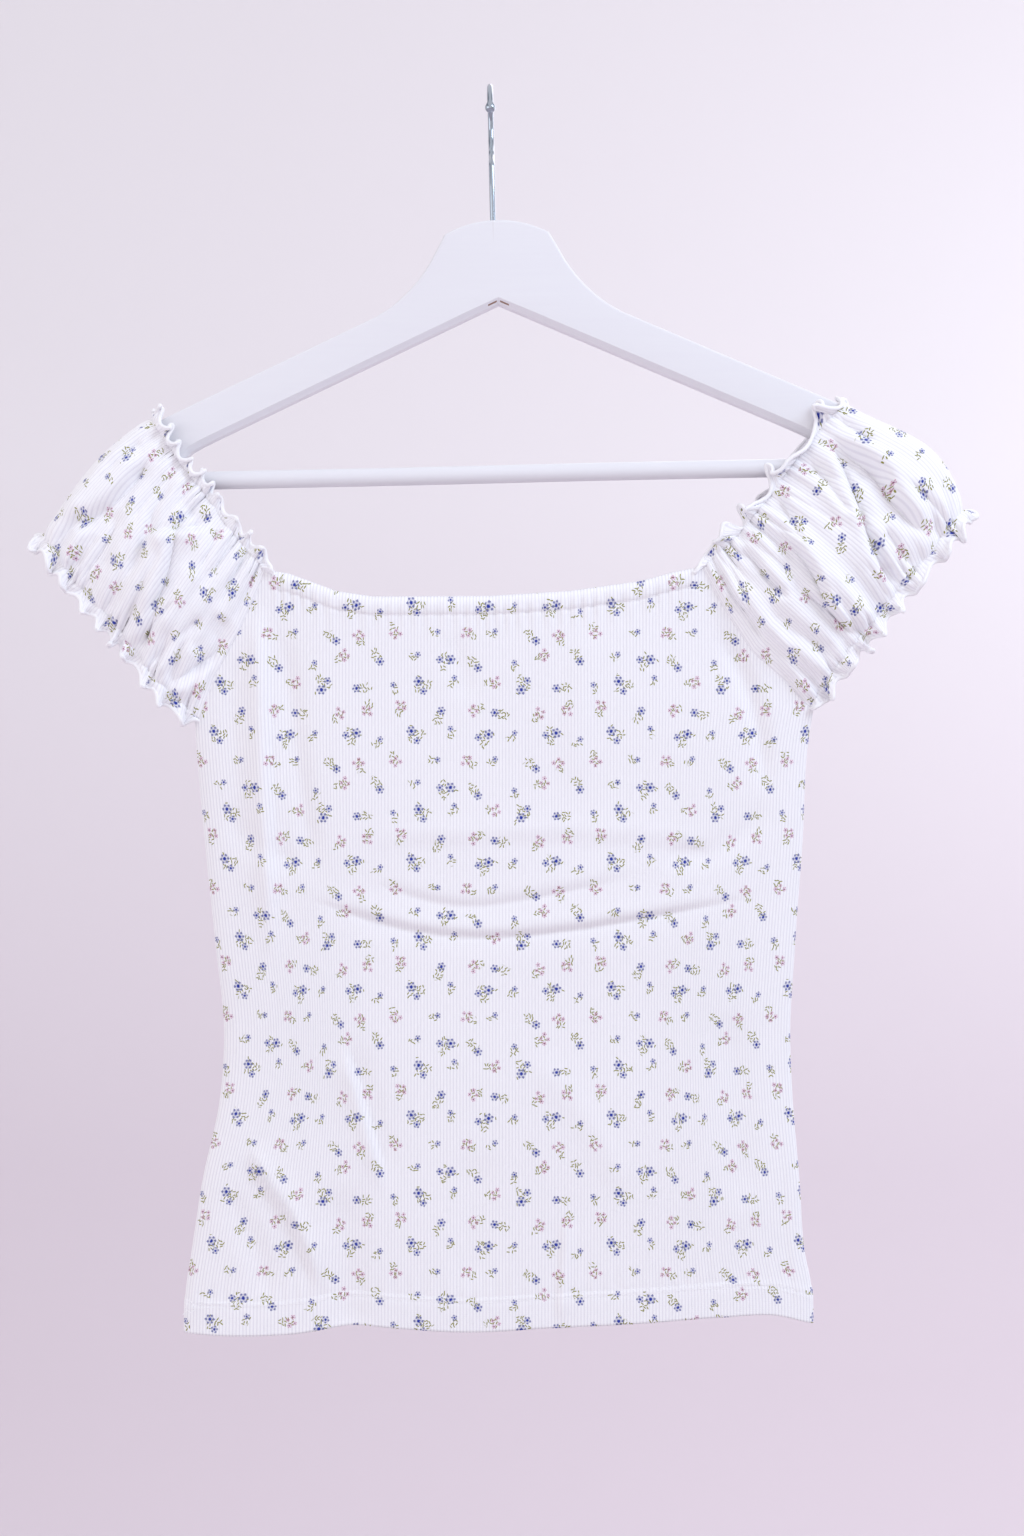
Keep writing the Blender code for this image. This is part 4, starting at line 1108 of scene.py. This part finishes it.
def ruffle_turn(number, side, edge):
    """How far round its uneven loops a place on a ruffle is, in radians: 0 in the top loop's middle."""
    loops = RUFFLES[side, edge][0]
    here_turn, top_turn = (
        loops * n + 0.16 * np.sin(1.3 * n) + 0.07 * np.sin(3.1 * n) for n in (number, TOP_LOOP)
    )
    return 2 * math.pi * (here_turn - top_turn)


def loop_size(number, side, edge):
    """How large the loops of a ruffle are, against the usual: the top one is the largest."""
    uneven = 0.3 * np.sin(0.75 * ruffle_turn(number, side, edge) + 1)
    return 0.8 + uneven + 0.25 * bell(number - TOP_LOOP, 0.8)


def ruffle_lean(number, side, edge):
    """How far a ruffle's edge leans out or in."""
    return RUFFLES[side, edge][1] * np.sin(ruffle_turn(number, side, edge) + 0.35)


def ruffle_length(number, side, edge):
    """How long a ruffle is: more in the middle of its loops than between them."""
    length, longer = RUFFLES[side, edge][3:]
    return length + longer * loop_size(number, side, edge) * np.cos(ruffle_turn(number, side, edge))


def ruffle_curl(number, t, side):
    """How far a ruffle's loops are drawn sideways along its edge, so that they curl over."""
    moved = 0
    for edge, past in (("neck", np.clip(-t, 0, 1)), ("cuff", np.clip(t - 1, 0, 1))):
        drawn = RUFFLES[side, edge][2] * loop_size(number, side, edge)
        moved = moved - drawn * np.sin(ruffle_turn(number, side, edge)) * past**1.3
    return moved


def cloth_length(t):
    """Distance along a sleeve's flat cloth from the neck elastic, for its map."""
    ruffles = np.minimum(t, 0) * NECK_RUFFLE + np.maximum(t - 1, 0) * CUFF_RUFFLE
    return np.clip(t, 0, 1) * SLEEVE_LENGTH + ruffles


def sleeve_stations():
    """The rows of a sleeve, from the neck ruffle's edge to the cuff ruffle's edge."""
    ruffle = np.linspace(-1, 0, RUFFLE_ROWS)[:-1]
    between = 0.5 - 0.5 * np.cos(np.linspace(0, math.pi, SLEEVE_ROWS))
    between = 0.45 * between + 0.55 * np.linspace(0, 1, SLEEVE_ROWS)
    return np.concatenate([ruffle, between, np.linspace(1, 2, RUFFLE_ROWS + 2)[1:]])


# Sewing


def only_selected(name, data):
    """A new object with its data, as the only selected and active one."""
    piece = bpy.data.objects.new(name, data)
    bpy.context.collection.objects.link(piece)
    bpy.ops.object.select_all(action="DESELECT")
    bpy.context.view_layer.objects.active = piece
    piece.select_set(True)
    return piece


def turned_out(mesh):
    """Turns the faces of a closed mesh outwards."""
    faces = bmesh.new()
    faces.from_mesh(mesh)
    bmesh.ops.recalc_face_normals(faces, faces=faces.faces)
    faces.to_mesh(mesh)
    faces.free()


def tube_along(name, points, radii, finish, smoothness=1):
    """A closed-ended round tube along points, as a mesh, of one radius or of one for each point."""
    data = bpy.data.curves.new(name, "CURVE")
    data.dimensions = "3D"
    data.bevel_depth = 1.0
    data.bevel_resolution = smoothness
    data.use_fill_caps = True
    line = data.splines.new("POLY")
    line.points.add(len(points) - 1)
    line.points.foreach_set("co", np.concatenate([points, np.ones((len(points), 1))], axis=1).ravel())
    line.points.foreach_set("radius", np.zeros(len(points)) + radii)
    piece = only_selected(name, data)
    bpy.ops.object.convert(target="MESH")
    piece.data.materials.append(finish)
    piece.data.shade_smooth()
    return piece


def stitches_along(name, points, out, finish, length=STITCH_LENGTH):
    """A row of stitches: one small rounded stitch, copied along the points and bedded in the cloth."""
    bpy.ops.object.select_all(action="DESELECT")
    bpy.ops.mesh.primitive_uv_sphere_add(segments=6, ring_count=4, radius=1)
    row = bpy.context.object
    row.name = row.data.name = name
    one = np.array([v.co for v in row.data.vertices])
    faces = [tuple(p.vertices) for p in row.data.polygons]
    steps = np.linalg.norm(np.diff(points, axis=0), axis=1)
    along = np.concatenate([[0], np.cumsum(steps)])
    count = int(along[-1] / (length + STITCH_GAP))
    at = (np.arange(count) + 0.5) * along[-1] / count
    verts, polys = [], []
    for i, distance in enumerate(at):
        ends = [
            np.array([np.interp(distance + side * length / 2, along, points[:, k]) for k in range(3)])
            for side in (-1, 1)
        ]
        normal = np.array([np.interp(distance, along, out[:, k]) for k in range(3)])
        way = ends[1] - ends[0]
        half = np.linalg.norm(way) / 2
        way = way / np.linalg.norm(way)
        axes = np.stack([THREAD_RADIUS * np.cross(normal, way), THREAD_RADIUS * normal, half * way])
        verts.append((ends[0] + ends[1]) / 2 + one @ axes)
        polys += [tuple(k + i * len(one) for k in face) for face in faces]
    row.data.clear_geometry()
    row.data.from_pydata(np.concatenate(verts).tolist(), [], polys)
    row.data.update()
    turned_out(row.data)
    row.data.materials.append(finish)
    row.data.shade_smooth()
    return row


def sleeve_sewing(side, thread):
    """The rolled edges of a sleeve's two ruffles, and the stitches over its two elastics."""
    us = np.linspace(0, 1, SLEEVE_RIBS * SLEEVE_COLUMNS_PER_RIB + 1)
    stations = sleeve_stations()
    points = sleeve_place(us[:, None], stations[None, :], side)
    out = normals_of(points)
    for edge, row in (("neck", 0), ("cuff", -1)):
        name = "rolled_edge_" + edge + "_" + side[0]
        belongs(tube_along(name, points[:, row], ROLLED_EDGE_RADIUS, thread), "knit")
    for edge, elastic in (("neck", 0), ("cuff", 1)):
        name = "elastic_stitches_" + edge + "_" + side[0]
        row = int(np.argmin(np.abs(stations - elastic)))
        line = points[:, row] + out[:, row] * (CLOTH / 2 + THREAD_RADIUS * STITCH_BED)
        belongs(stitches_along(name, line, out[:, row], thread, ELASTIC_STITCH), "knit")


def panel_sewing(face, name, thread):
    """The two rows of stitches at a panel's hem, and the one under its neck casing."""
    us = np.linspace(0.004, 0.996, SEAM_COLUMNS)
    rows = panel_rows()
    points = panel_place(us[:, None], rows[None, :], face)
    out = panel_normals(points, face)
    lift = panel_thickness(points) / 2 + THREAD_RADIUS * STITCH_BED
    points = points + out * lift[..., None]
    height = TOP_EDGE["z"][8] - HEM_EDGE["z"][6]
    for label, above in {**HEM_STITCHES, "casing": height - CASING_DEPTH}.items():
        row = int(np.argmin(np.abs(rows - above / height)))
        line, way = points[:, row], out[:, row]
        if label == "casing":
            between = (line[:, 0] > NECK_LEFT + 4 * MM) & (line[:, 0] < NECK_RIGHT - 4 * MM)
            line, way = line[between], way[between]
        belongs(stitches_along("stitches_" + label + "_" + name, line, way, thread), "knit")


def loose_thread(thread):
    """The curled end of thread at the left of the hem."""
    turns = np.array(LOOSE_THREAD_START) + LOOSE_THREAD_TURNS
    shares = np.linspace(0, 1, len(turns))
    finer = np.linspace(0, 1, 40)
    line = np.stack([curve(shares, turns[:, k] * MM, finer) for k in range(3)], axis=-1)
    belongs(tube_along("loose_thread", line, THREAD_RADIUS * 0.8, thread), "knit")


# Hanger


def turned_with_hanger(piece, shift=0.0):
    """Gives a piece the hanger's small tilt in its mesh, after a shift to the right."""
    piece.data.transform(Matrix.Rotation(-HANGER_TILT, 4, "Y") @ Matrix.Translation((shift, 0, 0)))
    return piece


def arm_top(x):
    """The height of the arm's top edge, straight until it curves down to its tip."""
    bend = np.clip((x - ARM_BEND) / (ARM_TIP - ARM_BEND), 0, 1)
    return ARM_START[1] - (x - ARM_START[0]) * math.tan(ARM_ANGLE) - ARM_BEND_DROP * bend**2


def hanger_outline():
    """The right half of the wood's outline, from the top middle round to the apex below."""
    radius = (TOP_ARC_HALF_WIDTH**2 + TOP_ARC_RISE**2) / (2 * TOP_ARC_RISE)
    arc_x = np.linspace(0, TOP_ARC_HALF_WIDTH, 14)
    shoulder_x = np.linspace(SHOULDER_FROM, ARM_START[0], 26)
    arm_x = np.concatenate([np.array((85, 110, 150, 185)) * MM, np.linspace(ARM_BEND, ARM_TIP - 2 * MM, 7)])
    under_x = np.array((150, 110, 75, 40, 15, 0)) * MM
    parts = (
        (arc_x, HANGER_TOP - radius + np.sqrt(radius**2 - arc_x**2)),
        (shoulder_x, curve(SHOULDER["x"], SHOULDER["z"], shoulder_x)),
        (arm_x, arm_top(arm_x)),
        (TIP["x"], TIP["z"]),
        (under_x, HANGER_APEX - under_x * math.tan(ARM_ANGLE)),
    )
    return np.concatenate([np.stack(part, axis=-1) for part in parts])


def wooden_body(finish):
    """The wood: its outline in rings from front to back, the lower edges chamfered and the others eased."""
    half = hanger_outline()
    outline = np.concatenate([half, half[-2:0:-1] * (-1, 1)])
    way = np.roll(outline, -1, axis=0) - np.roll(outline, 1, axis=0)
    way /= np.linalg.norm(way, axis=-1, keepdims=True)
    inward = np.stack([way[:, 1], -way[:, 0]], axis=-1)
    under = smooth((inward[:, 1] - 0.3) / 0.5)
    cut_back = EASED_EDGE + (LOWER_CHAMFER - EASED_EDGE) * under
    rings = []
    for share in np.linspace(0, 1, 5):
        angle = share * math.pi / 2
        inset = (1 - math.sin(angle)) * (1 - under) + (1 - share) * under
        depth = (1 - math.cos(angle)) * (1 - under) + share * under
        ring = outline + inward * (inset * cut_back)[:, None]
        rings.append(np.stack([ring[:, 0], depth * cut_back - WOOD_THICKNESS / 2, ring[:, 1]], axis=-1))
    rings += [ring * (1, -1, 1) for ring in rings[::-1]]
    count = len(outline)
    faces = [tuple(range(count)), tuple(range((len(rings) - 1) * count, len(rings) * count))]
    for k in range(len(rings) - 1):
        for i in range(count):
            j = (i + 1) % count
            faces.append((k * count + i, k * count + j, (k + 1) * count + j, (k + 1) * count + i))
    mesh = bpy.data.meshes.new("hanger_wood")
    mesh.from_pydata(np.concatenate(rings).tolist(), [], faces)
    turned_out(mesh)
    wood = only_selected("hanger_wood", mesh)
    mesh.materials.append(finish)
    bpy.ops.object.shade_smooth_by_angle(angle=math.radians(28))
    return turned_with_hanger(wood, WOOD_SHIFT)


def wooden_bar(finish):
    """The round bar: a cylinder with a slightly eased edge at each end, a hair uneven along its length."""
    bpy.ops.object.select_all(action="DESELECT")
    bpy.ops.mesh.primitive_cylinder_add(
        vertices=40, radius=BAR_RADIUS, depth=2 * BAR_HALF_LENGTH, rotation=(0, math.pi / 2, 0)
    )
    bar = bpy.context.object
    bar.name = bar.data.name = "hanger_rod"
    bpy.ops.object.transform_apply(location=False, rotation=True, scale=False)
    eased = bar.modifiers.new("eased ends", "BEVEL")
    eased.width = 0.8 * MM
    eased.segments = 3
    bpy.ops.object.modifier_apply(modifier=eased.name)
    cut = bmesh.new()
    cut.from_mesh(bar.data)
    for share in np.linspace(-0.95, 0.95, 20):
        everything = cut.verts[:] + cut.edges[:] + cut.faces[:]
        where = (share * BAR_HALF_LENGTH, 0, 0)
        bmesh.ops.bisect_plane(cut, geom=everything, plane_co=where, plane_no=(1, 0, 0))
    for v in cut.verts:
        v.co.z += BAR_HEIGHT + 0.12 * MM * math.sin(v.co.x / (37 * MM))
    cut.to_mesh(bar.data)
    cut.free()
    bar.data.materials.append(finish)
    bpy.ops.object.shade_smooth_by_angle(angle=math.radians(35))
    return turned_with_hanger(bar, WOOD_SHIFT)


def hook_route():
    """Points of the hook's middle line, as (y, z, radius), from its ball end over the crown into the wood."""
    centre = -HOOK_RADIUS + WIRE_RADIUS
    tip_y = HOOK_RADIUS * math.cos(HOOK_TIP_ANGLE)
    tip_z = centre + HOOK_RADIUS * math.sin(HOOK_TIP_ANGLE)
    route = []
    for angle in np.linspace(math.pi, 0, 17)[1:-1]:
        reach = HOOK_BALL_RADIUS * math.cos(angle)
        route.append((tip_y, tip_z - HOOK_BALL_SINK + reach, HOOK_BALL_RADIUS * max(math.sin(angle), 0.12)))
    route = route[:11]
    for angle in np.linspace(HOOK_TIP_ANGLE - 0.1, HOOK_BACK_ANGLE, 60):
        route.append((HOOK_RADIUS * math.cos(angle), centre + HOOK_RADIUS * math.sin(angle), WIRE_RADIUS))
    back_y, back_z = route[-1][:2]
    low = back_z - HOOK_SWAY_LENGTH
    for share in np.linspace(0.08, 1, 16):
        route.append((back_y * float(1 - smooth(share)), back_z + (low - back_z) * share, WIRE_RADIUS))
    route.append((0, HOOK_STRAIGHT_FROM, WIRE_RADIUS))
    route.append((0, HANGER_TOP - HOOK_DEPTH_IN_WOOD, WIRE_RADIUS))
    return route


def wire_hook(finish):
    """The wire hook with its ball end."""
    y, z, radii = np.array(hook_route()).T
    hook = tube_along("hanger_wire", np.stack([0 * y, y, z], axis=-1), radii, finish, 5)
    bpy.ops.object.shade_smooth_by_angle(angle=math.radians(60))
    return turned_with_hanger(hook)


# Operators


def inks_of(cloth):
    """The print's colours, linear."""
    names = ("petal", "heart", "leaf", "pink", "plum")
    return {name: linear(getattr(cloth, name + "_colour")) for name in names}


class KNITTOP_OT_body(bpy.types.Operator):
    """Adds the front and back panels with their casing and hem"""

    bl_idname = "knittop.body"
    bl_label = "Body panels"

    def execute(self, context):
        cloth = context.scene.knit_top_cloth
        ribs = (BODY_WIDTH, BODY_RIBS, BODY_RIB_SHADE)
        outer = knit_finish("printed cotton rib knit, body", cloth.cloth_colour, *ribs, inks_of(cloth))
        inner = knit_finish("reverse of the rib knit, body", cloth.inside_colour, *ribs, None)
        us = np.linspace(0, 1, BODY_RIBS * BODY_COLUMNS_PER_RIB + 1)
        for name, node, face in (("front_panel", "body_front", FRONT), ("back_panel", "body_back", BACK)):
            panel = cloth_piece(
                name,
                us,
                panel_rows(),
                lambda u, v, f=face: panel_place(u, v, f),
                panel_thickness,
                lambda u, v, points: (u * BODY_WIDTH, points[..., 2]),
                (outer, inner),
            )
            belongs(panel, "knit", node)
        return {"FINISHED"}


class KNITTOP_OT_sleeves(bpy.types.Operator):
    """Adds the two gathered sleeves with their ruffles"""

    bl_idname = "knittop.sleeves"
    bl_label = "Sleeves"

    def execute(self, context):
        cloth = context.scene.knit_top_cloth
        ribs = (SLEEVE_CLOTH_WIDTH, SLEEVE_RIBS, SLEEVE_RIB_SHADE)
        outer = knit_finish("printed cotton rib knit, sleeves", cloth.cloth_colour, *ribs, inks_of(cloth))
        inner = knit_finish("reverse of the rib knit, sleeves", cloth.inside_colour, *ribs, None)
        us = np.linspace(0, 1, SLEEVE_RIBS * SLEEVE_COLUMNS_PER_RIB + 1)
        for side, name in (("left", "sleeve_l"), ("right", "sleeve_r")):
            sleeve = cloth_piece(
                name,
                us,
                sleeve_stations(),
                lambda u, t, s=side: sleeve_place(u, t, s),
                lambda points: np.full(points.shape[:2], CLOTH),
                lambda u, t, points: (u * SLEEVE_CLOTH_WIDTH, cloth_length(t)),
                (outer, inner),
            )
            belongs(sleeve, "knit", "sleeve_" + side)
        return {"FINISHED"}


class KNITTOP_OT_sewing(bpy.types.Operator):
    """Adds the rolled edges, stitch rows and the loose thread end"""

    bl_idname = "knittop.sewing"
    bl_label = "Sewing"

    def execute(self, context):
        thread = thread_finish(context.scene.knit_top_cloth.thread_colour)
        for side in ("left", "right"):
            sleeve_sewing(side, thread)
        for face, name in ((FRONT, "front"), (BACK, "back")):
            panel_sewing(face, name, thread)
        loose_thread(thread)
        return {"FINISHED"}


class KNITTOP_OT_hanger(bpy.types.Operator):
    """Adds the wooden hanger, its bar and its wire hook"""

    bl_idname = "knittop.hanger"
    bl_label = "Hanger"

    def execute(self, context):
        hanger = context.scene.knit_top_hanger
        colours = (hanger.paint_colour, hanger.bare_colour)
        jointed = paint_finish("white satin paint on beech, body", *colours, True)
        plain = paint_finish("white satin paint on beech, bar", *colours, False)
        belongs(wooden_body(jointed), "paint", "hanger_body")
        belongs(wooden_bar(plain), "paint", "hanger_bar")
        belongs(wire_hook(wire_finish(hanger.wire_colour)), "wire", "hanger_hook")
        return {"FINISHED"}


def soft_light(name, place, aim, size, power, colour):
    """A square soft light that points at a place."""
    data = bpy.data.lights.new(name, "AREA")
    data.size = size
    data.energy = power
    data.color = linear(colour)[:3]
    light = bpy.data.objects.new(name, data)
    light.location = place
    light.rotation_euler = (Vector(aim) - Vector(place)).to_track_quat("-Z", "Y").to_euler()
    bpy.context.scene.collection.objects.link(light)


def pale_room(strength):
    """Light from all round, with a dim band on each side that gives the bright wire its dark edges."""
    world = bpy.data.worlds.new("pale room")
    world.use_nodes = True
    tree = world.node_tree
    sky = tree.nodes["Background"]
    sky.inputs["Strength"].default_value = strength
    sideways = maths(tree, "ABSOLUTE", apart(tree, add(tree, "ShaderNodeTexCoord").outputs["Generated"])[0])
    off = maths(tree, "ABSOLUTE", maths(tree, "SUBTRACT", sideways, 0.72))
    colour = ink(tree, linear("F3EFF3"), ramp(tree, off, 0.08, 0.16, 0.75, 0.0), linear("6E7480"))
    tree.links.new(colour, sky.inputs["Color"])
    return world


class KNITTOP_OT_studio(bpy.types.Operator):
    """Adds the pale floor and wall, the soft lights and the camera"""

    bl_idname = "knittop.studio"
    bl_label = "Studio"

    def execute(self, context):
        studio = context.scene.knit_top_studio
        profile = [(-STAGE_HALF_WIDTH, FLOOR_HEIGHT)]
        for angle in np.linspace(-math.pi / 2, 0, 13):
            y = WALL_PLACE - COVE_RADIUS + COVE_RADIUS * math.cos(angle)
            profile.append((y, FLOOR_HEIGHT + COVE_RADIUS + COVE_RADIUS * math.sin(angle)))
        profile.append((WALL_PLACE, WALL_TOP))
        bpy.ops.object.select_all(action="DESELECT")
        bpy.ops.mesh.primitive_grid_add(x_subdivisions=1, y_subdivisions=len(profile) - 1, size=1)
        backdrop = bpy.context.object
        backdrop.name = backdrop.data.name = "floor_and_wall"
        for v in backdrop.data.vertices:
            y, z = profile[round((v.co.y + 0.5) * (len(profile) - 1))]
            v.co = (2 * STAGE_HALF_WIDTH * v.co.x, y, z)
        backdrop.data.shade_smooth()
        backdrop.data.materials.append(wall_finish(studio.wall_colour, studio.floor_colour))
        soft_light("key_upper_right", (1.7, -1.2, 1.1), LIGHTS_AIM, 1.1, studio.key_power, "DDEEFF")
        soft_light("fill_left", (-1.9, -1.5, -0.2), LIGHTS_AIM, 1.6, studio.fill_power, "F4F3F7")
        wall_aim = (1.6, WALL_PLACE, -0.4)
        soft_light("wall_wash", (2.6, 1.2, 0.4), wall_aim, 1.2, 2 * studio.fill_power, "F4F6FF")
        soft_light("back", (0.9, 1.9, 0.8), LIGHTS_AIM, 1.6, studio.fill_power, "FBF8FF")
        context.scene.world = pale_room(studio.sky_strength)
        context.scene.view_settings.view_transform = "Standard"
        data = bpy.data.cameras.new("camera")
        data.lens = CAMERA_LENS
        data.sensor_width = SENSOR_WIDTH
        camera = bpy.data.objects.new("camera", data)
        camera.location = CAMERA_PLACE
        camera.rotation_euler = (math.pi / 2, 0, 0)
        context.scene.collection.objects.link(camera)
        context.scene.camera = camera
        return {"FINISHED"}


class KNITTOP_PT_panel(bpy.types.Panel):
    """Lists the pieces and what can be changed"""

    bl_idname = "KNITTOP_PT_panel"
    bl_label = "Knit top"
    bl_space_type = "VIEW_3D"
    bl_region_type = "UI"
    bl_category = "Knit top"

    def draw(self, context):
        for holder in GROUPS:
            group = getattr(context.scene, holder)
            for name in group.__annotations__:
                self.layout.prop(group, name)
        for operator in OPERATORS:
            self.layout.operator(operator.bl_idname)


GROUPS = {"knit_top_cloth": KnitTopCloth, "knit_top_hanger": KnitTopHanger, "knit_top_studio": KnitTopStudio}
OPERATORS = (KNITTOP_OT_studio, KNITTOP_OT_hanger, KNITTOP_OT_sleeves, KNITTOP_OT_body, KNITTOP_OT_sewing)


def register():
    for made in (*GROUPS.values(), *OPERATORS, KNITTOP_PT_panel):
        bpy.utils.register_class(made)
    for name, group in GROUPS.items():
        setattr(bpy.types.Scene, name, PointerProperty(type=group))


def unregister():
    for name in GROUPS:
        delattr(bpy.types.Scene, name)
    for made in reversed((*GROUPS.values(), *OPERATORS, KNITTOP_PT_panel)):
        bpy.utils.unregister_class(made)


def main():
    register()
    bpy.ops.knittop.studio()
    bpy.ops.knittop.hanger()
    bpy.ops.knittop.sleeves()
    bpy.ops.knittop.body()
    bpy.ops.knittop.sewing()
    bpy.context.view_layer.update()


if __name__ == "__main__":
    main()
